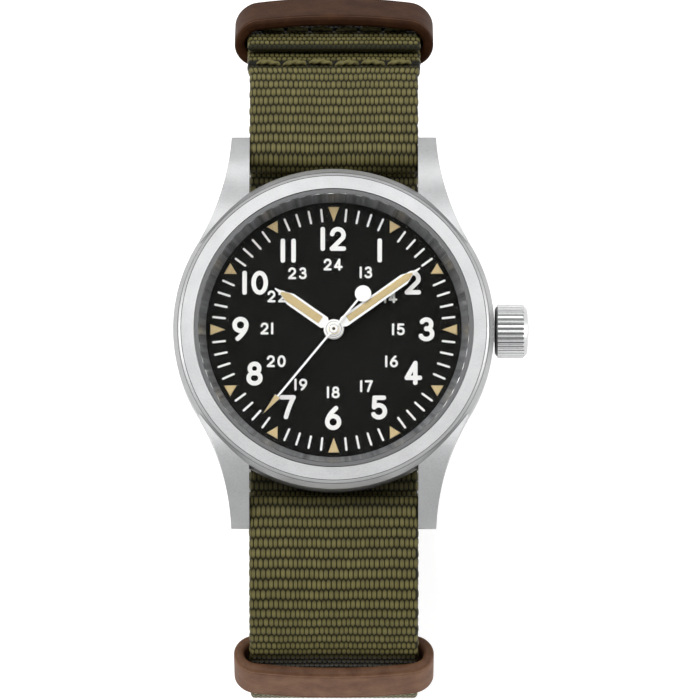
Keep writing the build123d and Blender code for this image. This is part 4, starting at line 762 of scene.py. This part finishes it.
flap_seam_at, tail_hem_at = 76.0, 294.0
seam_w = 0.55  # of the dent that a row of stitches pulls into the weave
doubled_w = 0.6  # what the doubled ends are pressed wider than the strap
sealed_len = 0.5  # of the melted end
weave_depth = 0.24
thread_reach = 0.68  # of a thread's back each way from the middle of its rib, in ribs
thread_full = 0.3  # of it at full width
thread_flat, thread_edge, thread_arc = 6.0, 0.5, 0.4  # powers that shape a thread's back
face_share = 0.985  # of the strap's width that the woven faces take up
selvage_in = 0.2  # of the selvage's middle from the strap's edge
selvage_round = 0.6  # of its roundness to a half circle's
rib_bulge = 0.1  # of the selvage at every rib
edge_wave = 0.03  # of the selvage's slow waves
seam_dent = 0.9  # of the weave's relief that a row of stitches presses away
sealed_share = 0.4  # of the thickness that is left at the sealed end


def wander(along, across):
    """Places on the weave in ribs and threads, each shifted by slow waves so that no two rows are alike."""
    row = 2 + along / rib + 0.03 * np.sin(0.5 * across + 1.9 * np.sin(0.21 * along))
    row = row + 0.02 * np.sin(1.9 * across + 0.4 * along)
    column = across / thread + 0.09 * np.sin(0.11 * along + 0.9 * across)
    return row, column + 0.06 * np.sin(0.17 * along - 2.3 * across)


def thread_back(off, reach):
    """Height of one thread at a sideways distance and a distance along, each 1 at its neighbours' middle:
    along it an arc that ends at thread_reach, across it a flat-backed arc, full wide as far as
    thread_full and from there narrowing evenly to a point."""
    rise = np.clip(1 - (reach / thread_reach) ** 2, 0, 1)
    wide = np.clip((thread_reach - reach) / (thread_reach - thread_full), 0.01, 1)
    return np.clip(1 - (off / wide) ** thread_flat, 0, 1) ** thread_edge * rise**thread_arc


def weave(row, column):
    """Height of the weave, 0 to 1. Every rib holds a row of threads, set over by half a thread in the
    next rib, whose pointed ends lie between those of the next row: the higher thread shows."""
    whole = np.floor(row)
    reach = np.abs(row - whole - 0.5)
    column = column + 0.5 * (whole % 2)
    off = np.abs(2 * (column - np.floor(column)) - 1)
    return np.maximum(thread_back(off, reach), thread_back(1 - off, 1 - reach))


def strap_piece(name, route, start, end, stride=1, threads=5, seams=(), doubled=(), sealed=False):
    """A length of strap: an outer and an inner face with the weave on both, joined by round selvages
    that bulge at every rib as the size of a sine. Along a seam the outer face is pressed down in the
    shape of a bell curve, a doubled stretch is a little wider, stepped by hyperbolic tangents, and
    towards a sealed end both faces close in as a square root."""
    path, normal, at = route
    part = slice(int(start * steps_in_rib / rib), int(end * steps_in_rib / rib) + 1, stride)
    path, normal, at = path[part], normal[part], at[part]
    across = np.linspace(-strap_w / 2, strap_w / 2, threads * thread_columns + 1)
    across_in = np.linspace(strap_w / 2, -strap_w / 2, 2 * thread_columns + 1)
    row, column = wander(at[:, None], across[None, :])
    row_in, column_in = wander(at[:, None], across_in[None, :])
    row_in, column_in = row_in + 0.5, column_in + 0.5
    half = strap_t / 2
    rows = len(at)
    bulge = rib_bulge * np.abs(np.sin(np.pi * row[:, [-1, 0]])) ** 0.7
    bulge = bulge + edge_wave * np.sin(2.7 * at[:, None] + np.array([0, 2]))
    edge_turn = np.radians([60, 20, -20, -60])
    edge_off = np.broadcast_to((half - 0.12) * np.sin(edge_turn), (rows, 4))
    wider = np.zeros((rows, 1))
    for first, last in doubled:
        steps = np.tanh((at[:, None] - first) / 2) - np.tanh((at[:, None] - last) / 0.6)
        wider = wider + doubled_w / 4 * steps
    edge_x = strap_w / 2 - selvage_in + selvage_round * (half - 0.1) * np.cos(edge_turn) + wider
    edge_column = np.broadcast_to(thread_columns / 2 + 0.5 * np.arange(4), (rows, 4))
    edge_row = np.broadcast_to(row[:, -1:], (rows, 4))
    standing, ends = np.ones((rows, 1)), np.ones((rows, 1))
    for seam in seams:
        standing = standing * (1 - seam_dent * np.exp(-(((at[:, None] - seam) / seam_w) ** 2)))
    if sealed:
        ends = np.clip((at[-1] - at[:, None]) / sealed_len, 0, 1) ** 0.5
    outer = half - weave_depth * (1 - standing * weave(row, column))
    inner = -half + weave_depth * (1 - weave(row_in, column_in))
    left = sealed_share + (1 - sealed_share) * ends
    outer, inner, edge_off = (off * left for off in (outer, inner, edge_off))
    spread = face_share + 2 * wider / strap_w
    x = [across * spread, edge_x + bulge[:, :1], across_in * spread, -edge_x - bulge[:, 1:]]
    x = np.concatenate(x, 1)
    off = np.concatenate([outer, edge_off, inner, -edge_off], 1)
    y = path[:, 0:1] + off * normal[:, 0:1]
    z = path[:, 1:2] + off * normal[:, 1:2]
    ring = x.shape[1]
    caps = [np.arange(ring)[::-1], np.arange(ring) + ring * (rows - 1)]
    u = np.concatenate([column, edge_column, column_in, -edge_column], 1)
    v = np.concatenate([row, edge_row, row_in, edge_row], 1)
    points, uv = np.stack([x, y, z], -1).reshape(-1, 3), np.stack([u, v], -1).reshape(-1, 2)
    faces = grid_faces(rows, ring, wrap=True)
    # The weave's relief, sent to the shader, sets its colour too: painted shade in the seams' dents, and a
    # darker colour towards the sealed end.
    relief_and_shade = np.broadcast_to(standing * (0.6 + 0.4 * ends), x.shape)
    return make_piece(name, points, faces, nylon, "case", "strap_fabric", caps=caps, uv=uv, standing=relief_and_shade)


def thread_height(tree, off, reach):
    """The height that thread_back gives, in nodes."""
    share = maths(tree, "DIVIDE", reach, thread_reach)
    rise = maths(tree, "SUBTRACT", 1.0, maths(tree, "MULTIPLY", share, share))
    rise = maths(tree, "MAXIMUM", rise, 0.0)
    wide = maths(tree, "SUBTRACT", thread_reach, reach)
    wide = maths(tree, "DIVIDE", wide, thread_reach - thread_full)
    wide = node(tree, "ShaderNodeClamp", Value=wide, Min=0.01).outputs[0]
    back = maths(tree, "POWER", maths(tree, "DIVIDE", off, wide), thread_flat)
    back = maths(tree, "MAXIMUM", maths(tree, "SUBTRACT", 1.0, back), 0.0)
    back = maths(tree, "POWER", back, thread_edge)
    return maths(tree, "MULTIPLY", back, maths(tree, "POWER", rise, thread_arc))


# Painted shade: the weave's colour darkens with its depth, near-black in the furrows.
nylon_shade_by_height = [  # height of the weave, colour
    (0.0, linear(7, 6, 2)), (0.47, linear(13, 12, 4)),
    (0.77, linear(50, 47, 23)), (1.0, linear(111, 105, 66)),
]


def woven_nylon():
    """Olive nylon whose colour follows the weave's height: painted shade makes the furrows near-black and
    the threads darker towards their ends than on their backs; each thread a tone of its own, and fine
    filaments along them. The UV map counts threads across and ribs along."""
    material, tree, shader = new_material("strap_nylon")
    place = node(tree, "ShaderNodeUVMap", {"uv_map": "UVMap"}).outputs[0]
    split = node(tree, "ShaderNodeSeparateXYZ", Vector=place)
    column, row = split.outputs[0], split.outputs[1]
    whole = maths(tree, "FLOOR", row)
    reach = maths(tree, "ABSOLUTE", maths(tree, "SUBTRACT", maths(tree, "SUBTRACT", row, whole), 0.5))
    column = maths(tree, "MULTIPLY_ADD", maths(tree, "FLOORED_MODULO", whole, 2.0), 0.5, column)
    thread_number = maths(tree, "FLOOR", column)
    place_in = maths(tree, "SUBTRACT", column, thread_number)
    off = maths(tree, "ABSOLUTE", maths(tree, "MULTIPLY_ADD", place_in, 2.0, -1.0))
    own = thread_height(tree, off, reach)
    next_row = thread_height(tree, maths(tree, "SUBTRACT", 1.0, off), maths(tree, "SUBTRACT", 1.0, reach))
    # Where the relief is pressed down at the seams, the colour darkens too, as painted shade.
    standing = node(tree, "ShaderNodeAttribute", {"attribute_name": "standing"}).outputs["Fac"]
    height = maths(tree, "MULTIPLY", maths(tree, "MAXIMUM", own, next_row), standing)
    label = node(tree, "ShaderNodeCombineXYZ", X=thread_number, Y=whole).outputs[0]
    own_tone = node(tree, "ShaderNodeTexWhiteNoise", {"noise_dimensions": "2D"}, Vector=label).outputs[0]
    stretched = node(tree, "ShaderNodeMapping", Vector=place, Scale=(7.0, 0.9, 1.0)).outputs[0]
    filament = noise(tree, stretched, 1.0, 3.0)
    patch = noise(tree, place, 0.18)
    colour = ramp(tree, height, nylon_shade_by_height)
    tone = maths(tree, "MULTIPLY_ADD", filament, 0.9, 0.45)
    tone = maths(tree, "MULTIPLY_ADD", patch, 0.35, tone)
    tone = maths(tree, "MULTIPLY_ADD", own_tone, 0.2, tone)
    plug(tree, shader, "Base Color", shaded(tree, colour, maths(tree, "SUBTRACT", tone, 0.2)))
    relief = maths(tree, "MULTIPLY_ADD", filament, 0.25, height)
    bump = node(tree, "ShaderNodeBump", Height=relief, Strength=0.7, Distance=0.00009)
    plug(tree, shader, "Normal", bump.outputs[0])
    shader.inputs["Roughness"].default_value = 0.5
    shader.inputs["Specular IOR Level"].default_value = 0.14
    return material


nylon = woven_nylon()
strap_line = rounded_route(strap_route, strap_radii, rib / steps_in_rib)
strap_end = strap_line[2][-1] - 1.6  # a little short of the route's end
strap_lengths = {  # from and to along the strap, where it doesn't face the eye and can be coarser
    "eye": (0, 22), "rise_upper": (22, 60), "under_case": (95, 133), "side_lower": (172, 190),
    "hole_run": (190, 226), "tail_run": (226, 262),
}
coarser = {"stride": 2, "threads": 3}
runs = {}
for name, (start, end) in strap_lengths.items():
    runs[name] = strap_piece(f"strap_{name}", strap_line, start, end, **coarser)
doubled = (flap_seam_at - 12, flap_seam_at + 1.5)
strap_piece("strap_upper", strap_line, 60, 95, seams=(flap_seam_at,), doubled=(doubled,))
strap_piece("strap_lower", strap_line, 133, 172)
hem = {"seams": (tail_hem_at,), "doubled": ((tail_hem_at - 9, strap_end + 9),), "sealed": True}
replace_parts(strap_piece("strap_tail", strap_line, 262, strap_end, **hem), "main_strap")

flap_route = (
    (32.664, 18.079), (31.251, 20.726), (18.3, 21.45), (-18.3, 21.45), (-34.508, 18.847), (-37.028, 9.999),
)
flap_bend_r = 4.0
flap_from = 0.6  # past the route's start, clear of the keeper where it slides up
flap_line = rounded_route(flap_route, [flap_bend_r] * 4, rib / steps_in_rib)
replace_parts(strap_piece("flap", flap_line, flap_from, flap_line[2][-1], **coarser), "flap_strap")


def length_at(route, y, z):
    """Length along a route at its point nearest to a place."""
    path, _, length = route
    return length[np.argmin(np.hypot(path[:, 0] - y, path[:, 1] - z))]


def on_route(route, at):
    """Place on a route at a length, the way along it and the way out of the strap."""
    path, normal, length = route
    spot, out = (np.array([np.interp(at, length, values[:, i]) for i in (0, 1)]) for values in (path, normal))
    return spot, np.array([-out[1], out[0]]), out


def pierced(piece, holes):
    """Cut holes right through a piece. Each is an outline of (across, along) points with its place, way
    along and way out."""
    shapes, caps = [], []
    for outline, (spot, way, out) in holes:
        first, count = sum(len(points) for points, faces in shapes), len(outline)
        ends = [spot + outline[:, 1:] * way + depth * out for depth in (-2 * strap_t, 2 * strap_t)]
        points = np.concatenate([np.c_[outline[:, 0], end] for end in ends])
        shapes.append((points, grid_faces(2, count, wrap=True)))
        caps += [first + np.arange(count)[::-1], first + count + np.arange(count)]
    points, faces = joined(shapes)
    cutter = bpy.data.objects.new("cutter", make_mesh("cutter", points, faces, caps=caps, smooth=False))
    scene.collection.objects.link(cutter)
    cut = piece.modifiers.new("holes", "BOOLEAN")
    cut.operation, cut.solver, cut.object = "DIFFERENCE", "EXACT", cutter
    graph = bpy.context.evaluated_depsgraph_get()
    result = {"preserve_all_data_layers": True, "depsgraph": graph}
    mesh = bpy.data.meshes.new_from_object(piece.evaluated_get(graph), **result)
    piece.modifiers.clear()
    piece.data = mesh
    bpy.data.objects.remove(cutter, do_unlink=True)


def box_outline(wide, long):
    """The corners of a slot."""
    return np.array([(-wide, -long), (wide, -long), (wide, long), (-wide, long)]) / 2


hole_r, hole_pitch, hole_count = 0.9, 6.0, 4
tongue_at = length_at(strap_line, -3.45, -21.0)
first_hole_at = length_at(strap_line, -11.15, -21.0)
turn = np.linspace(0, 2 * np.pi, 24, endpoint=False)
round_hole = hole_r * np.stack([np.cos(turn), np.sin(turn)], 1)
tongue_slot = (box_outline(1.7, 3.3), on_route(strap_line, tongue_at))
holes = [(round_hole, on_route(strap_line, first_hole_at - hole_pitch * i)) for i in range(hole_count)]
pierced(runs["hole_run"], [tongue_slot, *holes])
eye_spot = (np.array([5.0, -19.55]), np.array([1.0, 0.0]), np.array([0.0, 1.0]))
pierced(runs["eye"], [(box_outline(2.1, 4.1), eye_spot)])

stitch_r = 0.3
stitch_count = 6
stitch_gap = 0.25
stitch_steps, ply_steps = 30, 12  # along a stitch and round it


def stitch_row(name, at, span):
    """A row of long stitches across the strap: each a two-ply thread, its round swelling twice about its
    twist, that rises out of the weave as a half sine and goes back into it."""
    spot, along, out = on_route(strap_line, at)
    t = np.linspace(0, 1, stitch_steps)[:, None]
    around = np.linspace(0, 2 * np.pi, ply_steps, endpoint=False)[None, :]
    each = span / stitch_count
    lift = strap_t / 2 - 0.25 + 0.36 * np.sin(np.pi * t) ** 0.5
    radius = stitch_r * (1 + 0.22 * np.cos(2 * (around - 9 * t)))
    radius = radius * (0.35 + 0.65 * np.sin(np.pi * t) ** 0.35)
    shapes, caps = [], []
    for i in range(stitch_count):
        x = -span / 2 + i * each + stitch_gap / 2 + t * (each - stitch_gap)
        drift = 0.12 * np.sin(2.4 * i) + (0.3 * t - 0.15) * np.cos(3.1 * i)
        side, up = drift + radius * np.cos(around), lift + radius * np.sin(around)
        y, z = spot[0] + side * along[0] + up * out[0], spot[1] + side * along[1] + up * out[1]
        points = np.stack([np.broadcast_to(x, y.shape), y, z], -1).reshape(-1, 3)
        shapes.append((points, grid_faces(stitch_steps, ply_steps, wrap=True)))
        first, ring = i * len(points), np.arange(ply_steps)
        caps += [first + ring[::-1], first + len(points) - ply_steps + ring]
    points, faces = joined(shapes)
    return make_piece(name, points, faces, stitch_thread, "case", "strap_fabric", caps=caps)


stitch_thread = plain("stitch_thread", linear(102, 96, 58), 0.6, gloss=0.2, cloud=0.8)
stitch_row("flap_seam", flap_seam_at, 18.8)
stitch_row("tail_hem", tail_hem_at, 17.6)


# Keepers. Three loops of brown leather, skived and pressed round the strap, with burnished edges. The
# outer wall of each bows away from the strap; the inner wall lies flat against it.

def leather(name, tones, gloss):
    """Brown leather: pores, fine creases, and darker, smoother edges. V of the UV map is the distance
    from the wall's middle in millimetres."""
    material, tree, shader = new_material(name)
    place = object_place(tree)
    pores = node(tree, "ShaderNodeTexVoronoi", Vector=place, Scale=3200.0).outputs["Distance"]
    cloud = noise(tree, place, 420.0, 4.0)
    crease = noise(tree, place, 2400.0, 3.0, Distortion=0.6)
    unrolled = node(tree, "ShaderNodeUVMap", {"uv_map": "UVMap"}).outputs[0]
    across = node(tree, "ShaderNodeSeparateXYZ", Vector=unrolled).outputs[1]
    edge = remap(tree, maths(tree, "ABSOLUTE", across), 3.1, 3.45)
    colour = ramp(tree, cloud, list(zip((0.3, 0.5, 0.72), tones)))
    tone = maths(tree, "MULTIPLY_ADD", crease, 0.4, 0.8)
    plug(tree, shader, "Base Color", shaded(tree, colour, maths(tree, "MULTIPLY_ADD", edge, -0.3, tone)))
    plug(tree, shader, "Roughness", maths(tree, "MULTIPLY_ADD", edge, -0.15, 0.55))
    height = maths(tree, "MULTIPLY_ADD", pores, 0.5, crease)
    bump = node(tree, "ShaderNodeBump", Height=height, Strength=0.4, Distance=0.00005)
    plug(tree, shader, "Normal", bump.outputs[0])
    shader.inputs["Specular IOR Level"].default_value = gloss
    return material


# Painted shade and light: one brown leather in a darker copy on the upper keeper and a lighter copy on the
# other two.
shaded_copy_tones = linear(50, 29, 16), linear(60, 36, 21), linear(70, 44, 27)
lit_copy_tones = linear(94, 64, 46), linear(110, 78, 57), linear(124, 90, 68)
dark, light = leather("leather_shaded_copy", shaded_copy_tones, 0.04), leather("leather_lit_copy", lit_copy_tones, 0.12)
keeper_w = 7.0
keeper_t = 1.2
keeper_len = 23.9
keeper_edge_r = 0.42
crease_at, crease_depth, crease_w = 2.85, 0.06, 0.14  # a line pressed along each edge
keepers = {  # middle, way along the strap, bore, bow of the outer wall's ends and middle, leather, body
    "upper": ((37.074, 14.596), (-0.4709, 0.8822), 3.1, 0.2, 0.9, dark, "keeper"),
    "lower": ((-38.86, 15.427), (-0.342, -0.9397), 2.5, -0.2, 0.45, light, "case"),
    "fixed": ((12.6, -21.7), (1.0, 0.0), 2.8, 0.0, 0.3, light, "case"),
}


def loop_line(length, depth, straight_steps=48, end_steps=28):
    """Points of a loop with straight sides and round ends, in the order outer side, end, inner side, end."""
    radius, half = depth / 2, (length - depth) / 2
    x = np.linspace(half, -half, straight_steps, endpoint=False)
    turn = np.linspace(0, np.pi, end_steps, endpoint=False)
    left = np.stack([-half - radius * np.sin(turn), radius * np.cos(turn)], 1)
    outer = np.stack([x, np.full(straight_steps, radius)], 1)
    return np.concatenate([outer, left, -outer, -left])


def wall_section():
    """The wall's section as (distance along the strap, distance from its middle line): flat faces, edges
    rounded by a circle's arc, and two pressed lines in the outer face."""
    a = -np.cos(np.linspace(0, np.pi, 61)) * keeper_w / 2
    past = np.maximum(0, np.abs(a) - (keeper_w / 2 - keeper_edge_r))
    face = keeper_t / 2 - keeper_edge_r + np.sqrt(np.maximum(0, keeper_edge_r**2 - past**2))
    pressed = crease_depth * np.exp(-(((np.abs(a) - crease_at) / crease_w) ** 2))
    return np.concatenate([a, a[::-1][::3]]), np.concatenate([face - pressed, -face[::3]])


for name, (middle, way, bore, bow_ends, bow_middle, material, body) in keepers.items():
    loop = loop_line(keeper_len - keeper_t - 0.05, bore + keeper_t)
    x, o = loop[:, 0], loop[:, 1]
    radius = (bore + keeper_t) / 2
    share = np.clip((o + radius) / (2 * radius), 0, 1)
    middle_share = np.clip(1 - (2 * x / strap_w) ** 2, -0.3, 1)
    o = o + share**2 * (bow_ends + (bow_middle - bow_ends) * middle_share)
    dx, do = np.roll(x, -1) - np.roll(x, 1), np.roll(o, -1) - np.roll(o, 1)
    size = np.hypot(dx, do)
    nx, no = do / size, -dx / size
    a, d = wall_section()
    across = x[:, None] + nx[:, None] * d
    out = o[:, None] + no[:, None] * d
    outward = np.array([way[1], -way[0]])
    y = middle[0] + out * outward[0] + a * way[0]
    z = middle[1] + out * outward[1] + a * way[1]
    points = np.stack([across, y, z], -1).reshape(-1, 3)
    around = np.concatenate([[0], np.cumsum(size[:-1])]) / 2
    uv = np.stack(np.broadcast_arrays(around[:, None], a[None, :]), -1).reshape(-1, 2)
    faces = ring_faces(len(x), len(a))
    piece = make_piece(f"keeper_{name}_loop", points, faces, material, body, "keeper_leather", uv=uv)
    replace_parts(piece, f"keeper_{name}")


# Buckle. A flat-backed steel frame and its tongue, blasted like the case. The frame's bar runs through
# the strap's eye, and the tongue turns on it.
buckle_steel = metal("buckle_steel", steel_grey, 0.38)
finish_nodes(buckle_steel, "buckle_frame", "buckle_tongue")
